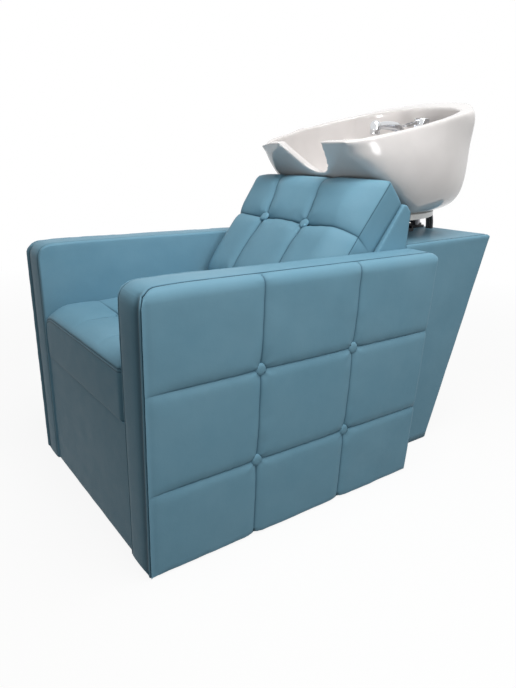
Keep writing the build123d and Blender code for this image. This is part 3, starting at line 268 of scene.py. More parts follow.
def birchPlywood():
    # Sawn birch ply: long grain along the board, pale with fine darker streaks
    ringMm, fibreMm, stretch = 18, 2, (1.0, 0.12, 1.0)
    material, tree, shader, place = startMaterial("birchPlywood", {"Roughness": 0.62, "IOR": 1.5})
    along = addNode(tree, "Mapping", {"Scale": stretch}, {"Vector": place})
    rings = addNode(tree, "TexNoise", {"Scale": 1000 / ringMm, "Detail": 3.0, "Distortion": 0.6},
                    {"Vector": along})
    fibre = addNode(tree, "TexNoise", {"Scale": 1000 / fibreMm, "Detail": 2.0}, {"Vector": along})
    patterned(tree, shader, rings, fibre, ("B48F5E", "DCC096"), (0, 1), (0.2, 0.4))
    return material


def polishedMetal(name, hexText, roughness, brushMm):
    # Plated or turned metal: hard bright reflections, broken only by faint polishing lines
    material, tree, shader, place = startMaterial(name, {"Metallic": 1.0, "Base Color": linearColor(hexText)})
    lines = addNode(tree, "TexNoise", {"Scale": 1000 / brushMm, "Detail": 2.0}, {"Vector": place})
    spread = addNode(tree, "MapRange", {3: roughness * 0.7, 4: roughness * 1.4}, {0: lines})
    feed(tree, shader, {"Roughness": spread})
    return material


def braidedSleeve():
    # Black nylon braid over a rubber hose, drawn from the mesh's own lengthwise coordinates
    strandMm, slant, waveTurn = 3.0, 0.9, 6.3
    settings = {"Roughness": 0.6, "Sheen Weight": 0.25}
    material, tree, shader, uv = startMaterial("braidedSleeve", settings, "UV")
    waves = []
    for turn in (slant, -slant):
        bent = addNode(tree, "Mapping", {"Rotation": (0, 0, turn)}, {"Vector": uv})
        waves.append(addNode(tree, "TexWave", {"Scale": 1000 / strandMm / waveTurn}, {"Vector": bent}))
    weave = addNode(tree, "Math", {"operation": "MAXIMUM"}, dict(enumerate(waves)))
    patterned(tree, shader, weave, weave, ("0B0B0C", "3A3A3C"), (0, 1), (0.5, 0.6))
    return material


finishes = {
    "leatherette": embossedVinyl("embossedVinyl"),
    "button_cover": embossedVinyl("embossedVinylButton"),
    "basin_ceramic": glazedCeramic(),
    "carcass_wood": birchPlywood(),
    # foil-faced chipboard, flat and dark
    "rear_board": speckled("melamineBoard", ("232527", "2E3133"), 6, 0.5, (0.1, 0.2)),
    # zinc plate, grey with blurred reflections
    "fastener_zinc": polishedMetal("zincPlatedSteel", "B9BBC0", 0.3, 3),
    # moulded nylon, near black and dull
    "glide_plastic": speckled("mouldedNylon", ("141415", "1D1D1F"), 2, 0.55, (0.15, 0.2)),
    # moulded ABS, clean white with a low sheen
    "base_plastic": speckled("mouldedAbsWhite", ("D9D7D3", "E2E0DD"), 5, 0.3, (0.04, 0.1)),
    # moulded rubber, matt grey without highlights
    "gasket_rubber": speckled("mouldedRubber", ("8E8E8C", "989896"), 3, 0.7, (0.2, 0.2)),
    # powder coat on steel, black with a fine orange peel
    "bracket_paint": speckled("powderCoatBlack", ("0C0C10", "17171D"), 1.6, 0.38, (0.25, 0.15)),
    # turned brass, yellow with tool lines
    "bush_brass": polishedMetal("turnedBrass", "C9A15A", 0.25, 2),
    # chrome plate on brass, mirror bright
    "tap_chrome": polishedMetal("chromePlatedBrass", "DADCDF", 0.07, 12),
    # moulded polypropylene, dark and faintly waxy
    "waste_plastic": speckled("mouldedPolypropylene", ("1D1D20", "28282B"), 8, 0.45, (0.05, 0.2)),
    # moulded ABS, smooth and black
    "index_plastic": speckled("mouldedAbsBlack", ("0D0D0F", "151517"), 4, 0.3, (0.05, 0.1)),
    "hose_rubber": braidedSleeve(),
}
# Spun and bonded nylon, a shade lighter than the cover
thread = speckled("bondedNylonThread", ("7FA6B8", "8BB0C1"), 1, 0.55, (0.2, 0.1))
slotOf = {entry["node"]: entry["material_slot"] for entry in frame["record"]["subparts"]}
for name, part in nodes.items():
    part.data.materials.clear()
    part.data.materials.append(finishes[slotOf[name]])
print("materials ready:", len(finishes))


# Mesh tools
def dress(piece, slot, body, replaced, material=None):
    mesh = piece.data
    mesh.polygons.foreach_set("use_smooth", [True] * len(mesh.polygons))
    mesh.materials.clear()
    mesh.materials.append(material or finishes[slot])
    if replaced:
        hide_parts(*replaced)
    if body:
        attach(piece, body)
    return piece


def makePiece(name, points, faces, slot, body, replaced=(), material=None, shade=None):
    mesh = bpy.data.meshes.new(name)
    mesh.from_pydata([tuple(p) for p in np.asarray(points, float)], [], faces)
    # painted shade: per-point darkness stored as the seamShade attribute, which the leatherette multiplies
    # into its colour
    if shade is not None:
        paintedShades = mesh.attributes.new("seamShade", "FLOAT", "POINT")
        paintedShades.data.foreach_set("value", np.asarray(shade, np.float32))
    mesh.validate()
    return dress(addObject(name, mesh), slot, body, replaced, material)


def fromFront(y):
    # The unit is measured from the front of its arms; the frame has its origin in the middle
    return y - 0.5935


def inFrame(points):
    return [(x, fromFront(y), z) for x, y, z in points]


def unit(t):
    return np.clip(t, 0, 1)


def easeOut(t):
    t = unit(t)
    return 1 - t * t * (3 - 2 * t)


waveSpec = {"count": 5, "bends": (0.6, 1.7), "start": 6.3, "step": 1.3, "level": 1.8}


def wavy(t, seed, length):
    # Smooth uneven line between about -1 and 1, with bends of about the given length
    draw = random.Random(seed)
    total = np.zeros_like(t, dtype=float)
    for k in range(waveSpec["count"]):
        bend, start = length * draw.uniform(*waveSpec["bends"]), draw.uniform(0, waveSpec["start"])
        total += math.sin(k + waveSpec["step"]) * np.sin(2 * math.pi * t / bend + start)
    return total / waveSpec["level"]


gridSpec = {"turnTicks": 9, "leastGap": 0.0003, "slack": 0.25,
            "besideSeam": (0, 0.03, 0.07, 0.13, 0.21, 0.31, 0.43, 0.57, 0.75, 1.0)}


def gridTicks(size, step, edges, seams, reach):
    # Grid lines lie close at the rounded edges and beside the seams, and wider between
    turn = 1 - np.cos(np.linspace(0, math.pi / 2, gridSpec["turnTicks"]))
    near = reach * np.array(gridSpec["besideSeam"])
    close = list(edges[0] * turn) + list(size - edges[1] * turn)
    for seam in seams:
        close += list(seam + near) + list(seam - near)
    exact = [0.0, size, *seams]
    picked = []
    for tick in sorted(c for c in close if 0 <= c <= size):
        if picked and tick - picked[-1] < gridSpec["leastGap"]:
            if min(abs(tick - s) for s in exact) < 1e-6:
                picked[-1] = tick
            continue
        picked.append(tick)
    ticks = [picked[0]]
    for tick in picked[1:]:
        parts = max(1, math.ceil((tick - ticks[-1]) / step - gridSpec["slack"]))
        ticks += list(np.linspace(ticks[-1], tick, parts + 1)[1:])
    return np.array(ticks)


def bendCorners(a, b, size, radii):
    # Square corners drawn in to rounded ones; returns which points lie there and which way is outward
    bentA, bentB = a.copy(), b.copy()
    away, inside = np.zeros(a.shape + (2,)), np.zeros(a.shape, bool)
    for (i, j), radius in radii.items():
        u = (radius - (size[0] - a if i else a)) / radius
        v = (radius - (size[1] - b if j else b)) / radius
        here = (u > 0) & (v > 0)
        mapU = u * np.sqrt(unit(1 - v * v / 2))
        mapV = v * np.sqrt(unit(1 - u * u / 2))
        du, dv = radius * (1 - mapU), radius * (1 - mapV)
        bentA[here] = (size[0] - du if i else du)[here]
        bentB[here] = (size[1] - dv if j else dv)[here]
        way = np.stack([mapU if i else -mapU, mapV if j else -mapV], -1)
        way /= np.maximum(np.hypot(mapU, mapV), 1e-9)[..., None]
        away[here] = way[here]
        inside |= here
    return bentA, bentB, away, inside


def cellBetween(t, lines, size):
    # The seams before and after each place, by number and by place
    stops = np.array([0.0, *lines, size])
    cell = np.clip(np.searchsorted(stops, t, side="right") - 1, 0, len(stops) - 2)
    return cell, stops[cell], stops[cell + 1]


def seamShift(across, along, lines, paths, size):
    # A curved seam draws the grid with it: nothing moves at the edges, everything in between follows
    moves = [np.zeros_like(along) for _ in range(len(lines) + 2)]
    for n, path in enumerate(paths):
        if path is not None:
            places, values = np.array(path).T
            curve = np.polyfit(places, values - lines[n], min(4, len(path) - 1))
            moves[n + 1] = np.polyval(curve, np.clip(along, places.min(), places.max()))
    moves = np.stack(moves)
    cell, before, after = cellBetween(across, lines, size)
    share = (across - before) / (after - before)
    low = np.take_along_axis(moves, cell[None], 0)[0]
    high = np.take_along_axis(moves, cell[None] + 1, 0)[0]
    return low + share * (high - low)


def valley(distance, reach, depth):
    # A sewn valley: steep at the thread, running out flat on the puff
    t = 1 - unit(distance / reach)
    return depth * (0.5 * (1 - np.sqrt(unit(1 - t * t))) + 0.5 * t * t)


def puffShare(t, lines, size):
    # 0 on the seams and at the edges, 1 in the middle of each puff
    _, low, high = cellBetween(t, lines, size)
    u = unit((t - low) / (high - low))
    return np.sqrt(unit(4 * u * (1 - u)))


def fadeAt(fade, along):
    if fade is None:
        return 1.0
    places, values = np.array(fade).T
    return np.interp(along, places, values)


def sheetFaces(index):
    # Quads over a grid of point numbers, and the numbers round its border
    quads = np.stack([index[:-1, :-1], index[1:, :-1], index[1:, 1:], index[:-1, 1:]], -1)
    border = np.concatenate([index[:-1, 0], index[-1, :-1], index[:0:-1, -1], index[0, :0:-1]])
    return quads.reshape(-1, 4), border


# What a panel has unless it says otherwise; lines are seams, paths their bends, fades their strength; line is
# the strength of the painted shade along the seams
plainPanel = {
    "dome": 0, "corners": {}, "lines": ((), ()), "paths": ((), ()), "fades": ((), ()), "reach": (0, 0),
    "depth": (0, 0), "heldShare": 1, "gatherMm": (11, 11), "pucker": (0, 0), "line": 1, "buttons": (),
    "pinchReach": 0.05, "fold": 0.0006, "buttonLift": 0.003, "crown": 0, "border": 0, "wallFade": 3,
}
# How a cover lies over foam: shares, and bends and reaches in metres
hip, domeLean, pinchPower, gatherShare, gatherBends = 8, 0.78, 1.4, 0.1, (0.019, 0.045)
deepen, deepenBend, rippleReach, threadReach, darkReach = 0.06, 0.06, 0.005, 0.0012, 0.0018
dimpleReach, foldCount, foldAt, foldReach, foldFrom = 0.021, 9, 0.019, 0.012, 0.004
foldTurn, foldSway, rimAt, rimReach = 1.7, 0.8, 0.0115, 0.0022
slants, unevenBends, borderBend, borderReach = (0.31, 0.27), (0.13, 0.15), 0.013, 0.006


def seamPush(spec, flatA, flatB, near):
    # Valleys, deepest at the buttons, with the cover gathered along them; also the painted shade (crease)
    # that darkens each place along the seams
    push, crease, cuts = np.zeros_like(flatA), np.zeros_like(flatA), []
    pinch = np.exp(-(near / spec["pinchReach"]) ** pinchPower)
    held = spec["heldShare"]
    for k, (bias, along, across) in enumerate(((3, flatB, flatA), (11, flatA, flatB))):
        fades = spec["fades"][k]
        for n, line in enumerate(spec["lines"][k]):
            seed, off = spec["seed"] + bias + n, np.abs(across - line)
            gather = 1 + gatherShare * wavy(along, seed, gatherBends[0])
            gather = gather + gatherShare * wavy(along, seed + 40, gatherBends[1])
            deep = spec["depth"][k] * (held + (1 - held) * pinch)
            deep = deep * (1 + deepen * wavy(along, seed + 80, deepenBend))
            strength = fadeAt(fades[n] if fades else None, along)
            cuts.append(valley(off, spec["reach"][k] * gather, deep * strength))
            ripple = wavy(along, seed + 120, spec["gatherMm"][k] / 1000) * spec["pucker"][k] * strength
            push += ripple * np.exp(-off / rippleReach) * (1 - np.exp(-off / threadReach))
            # painted shade: a dark band along each seam thread
            crease = np.maximum(crease, spec["line"] * strength * np.exp(-off / darkReach))
    if cuts:
        push -= np.maximum.reduce(cuts)
    return push, crease


def paddedPanel(given, place):
    # A slab of foam under a sewn cover: rounded edges, valleys at the seams, a crown on each puff.
    # a and b run over its face, h stands up from its back; place() turns them into the frame.
    spec = {**plainPanel, **given}
    size, edges, dome, seed, buttons = (spec[key] for key in ("size", "edges", "dome", "seed", "buttons"))
    lines = spec["lines"]
    ticks = [gridTicks(size[k], spec["step"], edges[2 * k:2 * k + 2], lines[k], spec["reach"][k])
             for k in (0, 1)]
    flatA, flatB = np.meshgrid(*ticks, indexing="ij")
    a, b, away, inCorner = bendCorners(flatA, flatB, size, spec["corners"])

    # how far round the edge the point lies (0 on the face, 1 where the side wall begins)
    sides = [1 - flatA / edges[0], 1 - (size[0] - flatA) / edges[1],
             1 - flatB / edges[2], 1 - (size[1] - flatB) / edges[3]]
    weight = unit(np.stack(sides)) ** hip
    total = weight.sum(0)
    share = unit(total ** (1 / hip))
    weight = weight / np.maximum(total, 1e-12)
    out = np.tensordot(weight, np.array([(-1, 0), (1, 0), (0, -1), (0, 1)], float), (0, 0))
    out = np.where(inCorner[..., None], away, out)
    turn, drop = (np.tensordot(weight, spec.get(key, edges), (0, 0)) for key in ("edges", "drops"))
    lean = share * (1 - dome) + share * dome * domeLean
    lift = np.sqrt(unit(1 - lean * lean))
    bow = (1 - dome) * (1 - np.sqrt(unit(1 - share * share))) + dome * share * share

    near = np.full_like(a, 1.0)
    for x, y in buttons:
        near = np.minimum(near, np.hypot(flatA - x, flatB - y))
    push, crease = seamPush(spec, flatA, flatB, near)
    for n, (x, y) in enumerate(buttons):
        r, angle = np.hypot(flatA - x, flatB - y), np.arctan2(flatB - y, flatA - x)
        push -= spec["buttonDepth"] * np.exp(-(r / dimpleReach) ** 2)
        fold = np.sin(foldCount * angle + foldTurn * n + foldSway * np.sin(3 * angle + n))
        fold = spec["fold"] * fold * np.exp(-np.abs(r - foldAt) / foldReach)
        push += fold * (r > foldFrom)
        # painted shade round the foot of each button, where its rim overhangs the cover
        crease = np.maximum(crease, np.exp(-unit(r - rimAt) / rimReach))
    push += spec["crown"] * puffShare(flatA, lines[0], size[0]) * puffShare(flatB, lines[1], size[1])
    uneven = wavy(a + slants[0] * b, seed + 5, unevenBends[0])
    uneven = uneven * wavy(b - slants[1] * a, seed + 6, unevenBends[1])
    push += spec["uneven"] * uneven * lift

    # puckers round the stitched border
    run = a * np.abs(out[..., 1]) + b * np.abs(out[..., 0])
    pucker = spec["border"] * wavy(run, seed + 7, borderBend)
    push += pucker * np.exp(-((1 - share) * turn) / borderReach) * (share > 0)
    a = a + seamShift(flatA, flatB, lines[0], spec["paths"][0], size[0]) + out[..., 0] * lean * push
    b = b + seamShift(flatB, flatA, lines[1], spec["paths"][1], size[1]) + out[..., 1] * lean * push
    h = spec["thickness"] - drop * bow + lift * push

    # the side walls go down from the border, ring by ring, and the last ring closes the back
    quads, ring = sheetFaces(np.arange(a.size).reshape(a.shape))
    faces = quads.tolist()
    ringA, ringB, ringH, ringPush = (values.ravel()[ring] for values in (a, b, h, push))
    ringOut = out.reshape(-1, 2)[ring]
    ringOut = ringOut / np.maximum(np.hypot(*ringOut.T), 1e-9)[:, None]
    front = unit(-ringOut[:, 0]) ** 3
    previous, start = ring, a.size
    points, paintedShades = [np.stack([a.ravel(), b.ravel(), h.ravel()], -1)], [crease.ravel()]
    for fraction, offset, paintedWallShade, *atFront in spec["wall"]:
        extra, paintedFrontShade = atFront or (0.0, 0.0)
        fade = (1 - fraction) ** spec["wallFade"]
        move = offset + extra * front - ringPush * (1 - fade)
        points.append(np.stack([ringA + ringOut[:, 0] * move, ringB + ringOut[:, 1] * move,
                                ringH * (1 - fraction)], -1))
        # painted shade on the walls: each ring's own darkness, more at the front, and the seam shade fading
        # down the wall
        paintedShades.append(np.maximum(paintedWallShade + paintedFrontShade * front, crease.ravel()[ring] * fade))
        now = start + np.arange(len(ring))
        faces += np.stack([previous, now, np.roll(now, -1), np.roll(previous, -1)], -1).tolist()
        previous, start = now, start + len(ring)
    faces.append(previous[::-1].tolist())
    world = np.stack(place(*np.concatenate(points).T), -1)

    # where the covered buttons sit, and which way they face
    seats = []
    for x, y in buttons:
        k = np.argmin(np.hypot(flatA - x, flatB - y))
        at = [np.array([v.ravel()[k]]) for v in (a, b, h)]
        base = Vector(np.stack(place(*at), -1)[0])
        tip = Vector(np.stack(place(at[0], at[1], at[2] + 0.002), -1)[0])
        axis = (tip - base).normalized()
        seats.append((base + axis * spec["buttonLift"], axis))
    return world, faces, unit(np.concatenate(paintedShades)), seats


def outward(points, faces):
    # Faces turned so that the normals point away from the inside
    p = np.asarray(points)
    volume = sum(np.dot(p[face[0]], np.cross(p[face[k]], p[face[k + 1]]))
                 for face in faces for k in range(1, len(face) - 1))
    return faces if volume > 0 else [list(face)[::-1] for face in faces]


def ringPoints(centre, across, other, radius, sides, pleats=0.0):
    # Points round a centre; pleats draws them in and out
    points = []
    for k in range(sides):
        angle = 2 * math.pi * k / sides
        reach = radius * (1 + pleats * math.cos(buttonSpec["pleatCount"] * angle))
        points.append(centre + reach * (math.cos(angle) * across + math.sin(angle) * other))
    return points


def rodFaces(rings, sides):
    # Quads round a rod of rings, then its two ends
    faces = []
    for low in range(0, (rings - 1) * sides, sides):
        for k in range(sides):
            m = (k + 1) % sides
            faces.append([low + k, low + m, low + sides + m, low + sides + k])
    last = (rings - 1) * sides
    return faces + [list(range(sides))[::-1], list(range(last, last + sides))]


def lathe(profile, base, axis, sides, pleats=0.0):
    # Turned shape about an axis; profile is (radius, height) from the crown down to the back
    across = axis.orthogonal().normalized()
    other = axis.cross(across)
    points, faces = [base + axis * profile[0][1]], []
    for row, (radius, height) in enumerate(profile[1:]):
        points += ringPoints(base + axis * height, across, other, radius, sides, pleats * row / len(profile))
    rings = len(profile) - 1
    for k in range(sides):
        m = (k + 1) % sides
        faces.append([0, 1 + k, 1 + m])
        for low in range(1, 1 + (rings - 1) * sides, sides):
            faces.append([low + k, low + sides + k, low + sides + m, low + m])
    faces.append([1 + (rings - 1) * sides + k for k in range(sides)][::-1])
    return points, faces


def joinShapes(shapes):
    points, faces = [], []
    for shapePoints, shapeFaces in shapes:
        start = len(points)
        points += list(shapePoints)
        faces += [[start + i for i in face] for face in outward(shapePoints, shapeFaces)]
    return points, faces


# profile is in shares of the radius and of the crown
buttonSpec = {
    "radius": 0.0142, "crown": 0.0062, "sides": 48, "pleats": 0.02, "pleatCount": 12,
    "profile": [(0, 1), (0.3, 0.985), (0.55, 0.93), (0.76, 0.8), (0.9, 0.58), (0.98, 0.28), (1, 0.02),
                (0.96, -0.22), (0.86, -0.36)],
}


def coveredButtons(name, seats, replaced):
    # Leatherette drawn over a domed metal shell: full in the middle, gathered under the rim
    radius, crown = buttonSpec["radius"], buttonSpec["crown"]
    profile = [(across * radius, up * crown) for across, up in buttonSpec["profile"]]
    shapes = [lathe(profile, base, axis, buttonSpec["sides"], buttonSpec["pleats"]) for base, axis in seats]
    points, faces = joinShapes(shapes)
    return makePiece(name, points, faces, "button_cover", "chair", replaced)


def upholster(name, spec, place, replaced, sides=(1,), buttonsAs=None):
    for side in sides:
        ending = "" if len(sides) == 1 else ("_right" if side > 0 else "_left")
        points, faces, shade, seats = paddedPanel(spec, place)
        points = points * (side, 1, 1)
        piece = makePiece(name + "_sewn" + ending, points, outward(points, faces), "leatherette", "chair",
                          [replaced + ending], shade=shade)
        if buttonsAs:
            turned = [[Vector((v.x * side, v.y, v.z)) for v in seat] for seat in seats]
            coveredButtons(buttonsAs + "_covered" + ending, turned, [buttonsAs + ending])


# share of the stitch's length, then width and rise in radii
stitchShape = ((0, 0.35, -0.8), (0.12, 0.9, -0.1), (0.35, 1, 0.25), (0.65, 1, 0.25), (0.88, 0.9, -0.1),
               (1, 0.35, -0.8))


def stitches(name, line, facing, pitch, length, radius, sides=6):
    # Lock stitches along a line: each one dips into the cover at its ends
    line = [Vector(p) for p in line]
    steps = [0.0]
    for before, after in zip(line, line[1:]):
        steps.append(steps[-1] + (after - before).length)
    shapes = []
    for n in range(int((steps[-1] - length) / pitch)):
        ends = []
        for at in (n * pitch, n * pitch + length):
            k = max(i for i in range(len(steps) - 1) if steps[i] <= at)
            ends.append(line[k].lerp(line[k + 1], (at - steps[k]) / (steps[k + 1] - steps[k])))
        side = (ends[1] - ends[0]).normalized().cross(facing).normalized()
        up = side.cross((ends[1] - ends[0]).normalized())
        points = []
        for share, width, rise in stitchShape:
            centre = ends[0].lerp(ends[1], share) + up * radius * rise
            points += ringPoints(centre, side, up, radius * width, sides)
        shapes.append((points, rodFaces(len(stitchShape), sides)))
    points, faces = joinShapes(shapes)
    return makePiece(name, points, faces, "leatherette", "chair", material=thread)


print("mesh tools ready")


# Arms. The pad is sewn to the cover; on the front wall the seam runs out to the corner
armLength, armCorners = 0.82, {(0, 1): 0.036, (1, 1): 0.022}
armLines = ((0.2733, 0.5467), (0.1984, 0.4152))
armPad = {
    "size": (armLength, 0.6152), "thickness": 0.0226, "edges": (0.02, 0.012, 0.004, 0.026),
    "drops": (0.016, 0.01, 0.004, 0.018), "corners": armCorners, "lines": armLines,
    "reach": (0.03, 0.024), "depth": (0.0095, 0.008), "heldShare": 0.62, "pinchReach": 0.035,
    "fades": ((), [[(0, 0.25), (0.03, 0.55), (0.08, 1), (0.8, 1), (0.82, 0.6)]] * 2),
    "buttons": [(a, b) for a in armLines[0] for b in armLines[1]], "buttonDepth": 0.003,
    "crown": 0.0014, "pucker": (0.0004, 0.0014), "gatherMm": (24, 12), "border": 0.0003, "uneven": 0.0005,
    "line": 0.7, "step": 0.012, "seed": 21, "fill": 0.7,
    # share of the height below the face, how far out, how much painted shade; then what the front wall adds
    # in reach and painted shade
    "wall": [(0.15, 0, 0), (0.5, -0.0004, 0.1), (0.8, -0.0012, 0.7), (1, -0.003, 1), (1, -0.021, 1)],
}
armCover = {
    "size": (armLength, 0.616), "thickness": 0.071, "edges": (0.006, 0.008, 0.004, 0.007),
    "corners": armCorners, "crown": 0.0012, "border": 0.0003, "uneven": 0.0008,
    "step": 0.014, "seed": 57, "fill": 0.8,
    "wall": [(0.01, -0.0006, 0.5), (0.025, -0.001, 0.9), (0.04, -0.0002, 0.3), (0.08, 0.0004, 0),
             (0.2, 0.0008, 0), (0.4, 0.001, 0), (0.55, 0.0008, 0), (0.68, 0.0006, 0, -0.0008, 0.1),
             (0.76, 0.0005, 0, -0.0026, 0.4), (0.82, 0.0003, 0, -0.0036, 0.6),
             (0.865, 0.0002, 0, -0.003, 0.5), (0.885, 0.0001, 0, -0.001, 0.1),
             (0.91, 0, 0, 0.001, 0), (0.93, -0.0001, 0, 0.0016, 0),
             (0.95, -0.0003, 0.1, 0.001, -0.1), (0.97, -0.001, 0.5), (0.985, -0.0018, 1),
             (1, -0.003, 1), (1, -0.021, 1)],
}
arm = {
    "seam": 0.3195, "seamGap": 0.0002, "foot": 0.004, "toCorner": 0.024, "turn": 0.045, "sewnHeight": 0.612,
    "border": (0.002, 0.02), "bulge": 0.0095, "bulgeRun": 0.42, "bulgeLow": 0.45, "bulgeHeight": 0.5,
    "droop": 0.0042, "droopRun": 0.11, "droopFrom": 0.54, "droopRise": 0.07,
}


def armShift(a, b):
    # How far the seam is drawn out towards the front corner, near the border alone
    inFrom = np.minimum(np.minimum(a, armLength - a), arm["sewnHeight"] - b)
    start, run = arm["border"]
    return arm["toCorner"] * unit(1 - a / arm["turn"]) ** 2 * easeOut((inFrom - start) / run)


def armHeight(a, b):
    # The top gives a little towards the front
    nearFront = unit(1 - a / arm["droopRun"]) ** 1.5
    droop = arm["droop"] * nearFront * unit((b - arm["droopFrom"]) / arm["droopRise"])
    return b + arm["foot"] - droop


def placeArmCover(a, b, h):
    share = unit(1 - h / armCover["thickness"])
    rise = arm["bulgeLow"] + (1 - arm["bulgeLow"]) * unit(b / arm["bulgeHeight"])
    bulge = arm["bulge"] * easeOut(a / arm["bulgeRun"]) * rise
    x = arm["seam"] - arm["seamGap"] - h + armShift(a, b) * share ** 1.5 - bulge * (1 - share)
    return x, fromFront(a), armHeight(a, b)


def placeArmPad(a, b, h):
    share = unit(1 - h / armPad["thickness"])
    return arm["seam"] + arm["seamGap"] + h + armShift(a, b) * share, fromFront(a), armHeight(a, b)


upholster("arm_cover", armCover, placeArmCover, "arm_cover", (1, -1))
upholster("arm_pad", armPad, placeArmPad, "arm_pad", (1, -1), "arm_buttons")
print("arms upholstered")

# Seat and front panel
seatHalf, seamHalf, seatButtonRows = 0.2455, 0.077, (0.146, 0.301)
leftSeam, rightSeam = seatHalf - seamHalf, seatHalf + seamHalf
seatForm = {
    "deck": 0.3223, "frontRun": 0.055, "frontDip": 0.017, "cornerDip": 0.02, "crown": 0.0065,
    "crownFrom": 0.5, "crownRun": 0.08, "waist": 0.035, "waistRun": 0.12, "setBack": 0.002, "backGap": 0.0006,
}
backBoard = {"foot": (0.703, 0.622), "lean": math.radians(36)}
seatCushion = {
    "size": (2 * seatHalf, 0.578), "thickness": 0.1315, "edges": (0.022, 0.022, 0.012, 0.01),
    "drops": (0.014, 0.016, 0.005, 0.01), "corners": {(0, 0): 0.006, (1, 0): 0.024},
    "lines": ((leftSeam, rightSeam), (*seatButtonRows, 0.456)), "reach": (0.04, 0.04),
    "depth": (0.011, 0.011), "heldShare": 0.55, "pinchReach": 0.06,
    "fades": ([[(0, 0), (0.05, 0.12), (0.12, 0.8), (0.2, 1)]] * 2,
              [[(0.03, 0.25), (0.12, 0.9), (0.35, 0.9), (0.44, 0.35)], None, None]),
    "paths": ([[(0, seatHalf - 0.045), (0.05, seatHalf - 0.06), (0.146, leftSeam), (0.3, leftSeam)],
               [(0, seatHalf + 0.105), (0.05, seatHalf + 0.088), (0.146, rightSeam), (0.3, rightSeam)]], ()),
    "buttons": [(x, y) for x in (leftSeam, rightSeam) for y in seatButtonRows],
    "buttonDepth": 0.004, "crown": 0.002, "pucker": (0.0005, 0.0005), "border": 0.0002, "uneven": 0.0008,
    "step": 0.012, "seed": 83, "fill": 0.6,
    "wall": [(0.008, 0, 0.3), (0.018, -0.0012, 0.9), (0.03, 0.0006, 0), (0.045, 0.001, 0),
             (0.06, 0.0004, 0), (0.075, -0.0004, 0.6), (0.09, 0.0002, 0), (0.2, 0.0006, 0),
             (0.45, 0.001, 0), (0.7, 0.0006, 0), (0.95, 0, 0), (0.99, -0.0004, 0.2), (1, -0.0012, 0.4)],
}
frontPanel = {
    "size": (0.494, 0.318), "thickness": 0.009, "edges": (0.005, 0.005, 0.004, 0.0015),
    "corners": {(0, 0): 0.006, (1, 0): 0.006, (0, 1): 0.002, (1, 1): 0.002}, "uneven": 0.0002, "step": 0.014,
    "seed": 97, "fill": 0.9, "wall": [(0.5, 0, 0.3), (1, -0.001, 0.8)],
}
panelPlace = {"half": 0.247, "back": 0.013, "foot": 0.004}
seatThread = {"facing": Vector((0, -0.35, 0.94)), "pitch": 0.0062, "length": 0.0045, "radius": 0.0007}
seatThreadRun, seatThreadFront, seatThreadHeight = (-0.176, 0.216), 0.0053, 0.44


def placeSeat(a, b, h):
    nearFront, nearSide = (unit(1 - t / seatForm["frontRun"]) for t in (b, a))
    dip = seatForm["frontDip"] * nearFront ** 2 + seatForm["cornerDip"] * nearSide ** 2 * nearFront
    crown = seatForm["crown"] * unit((seatForm["crownFrom"] - b) / seatForm["crownRun"])
    z = seatForm["deck"] + h + (crown - dip) * h / seatCushion["thickness"]
    waist = 1 - seatForm["waist"] * easeOut(b / seatForm["waistRun"])
    # the cushion's end lies along the leaning board behind it
    footY, footZ = backBoard["foot"]
    board = footY + (z - footZ) * math.tan(backBoard["lean"])
    y = np.minimum(b + seatForm["setBack"], board - seatForm["backGap"])
    return (a - seatHalf) * waist, fromFront(y), z


def placePanel(a, b, h):
    return a - panelPlace["half"], fromFront(panelPlace["back"] - h), b + panelPlace["foot"]


upholster("seat_cushion", seatCushion, placeSeat, "seat_cushion", (1,), "seat_buttons")
upholster("front_panel_cover", frontPanel, placePanel, "front_panel_cover")
seatEdge = inFrame([(x, seatThreadFront, seatThreadHeight) for x in np.linspace(*seatThreadRun, 60)])
stitches("seat_front_topstitch", seatEdge, **seatThread)
print("seat upholstered")

# Back. Its top end leans further out at the face, and the seams bow towards the middle
backLines = ((0.146, 0.318), (0.163, 0.36))
backCushion = {
    "size": (0.48, 0.456), "thickness": 0.1195, "edges": (0.04, 0.07, 0.07, 0.012),
    "drops": (0.026, 0.043, 0.04, 0.012), "dome": 1, "corners": {(0, 0): 0.04, (1, 0): 0.006},
    "lines": backLines, "reach": (0.04, 0.044), "depth": (0.0125, 0.018), "heldShare": 0.5,
    "pinchReach": 0.055,
    "paths": ([[(0, 0.094), (0.03, 0.112), (0.074, 0.134), (0.112, 0.142), (0.146, 0.147), (0.163, 0.146),
                (0.2, 0.145), (0.25, 0.142), (0.32, 0.141)],
               [(0, 0.282), (0.046, 0.298), (0.078, 0.302), (0.108, 0.307), (0.134, 0.313), (0.163, 0.318),
                (0.19, 0.317), (0.224, 0.312), (0.289, 0.315)]],
              [[(0, 0.161), (0.15, 0.162), (0.3, 0.163), (0.436, 0.16), (0.48, 0.153)], None]),
    "fades": ([[(0, 0.35), (0.03, 0.5), (0.08, 0.75), (0.13, 1), (0.22, 0.85), (0.33, 0.7)]] * 2,
              [[(0, 0.75), (0.03, 0.8), (0.1, 0.95), (0.4, 1), (0.44, 0.9), (0.48, 0.8)], None]),
    "buttons": [(x, y) for x in backLines[0] for y in backLines[1]], "buttonDepth": 0.002,
    "buttonLift": 0.009, "crown": 0.003, "pucker": (0.0005, 0.0007), "fold": 0.0011, "border": 0.0005,
    "uneven": 0.001, "step": 0.01, "seed": 131, "fill": 0.6, "wallFade": 1.2,
    "wall": [(0.008, 0.0001, 0.2), (0.02, -0.0009, 0.8), (0.035, -0.0009, 0.8), (0.05, 0.0002, 0.1),
             (0.09, 0.0004, 0), (0.25, 0.0008, 0), (0.5, 0.001, 0), (0.8, 0.0006, 0), (0.94, -0.0006, 0.3),
             (1, -0.004, 0.9)],
}
backForm = {
    "origin": (0.1861, 0.7274), "half": 0.24, "rise": 0.809, "run": 0.588, "seatLevel": 0.4546,
    "topSlant": 0.158, "waist": 0.014, "waistHeight": 0.46, "drawn": 0.003, "drawnRun": 0.2,
}


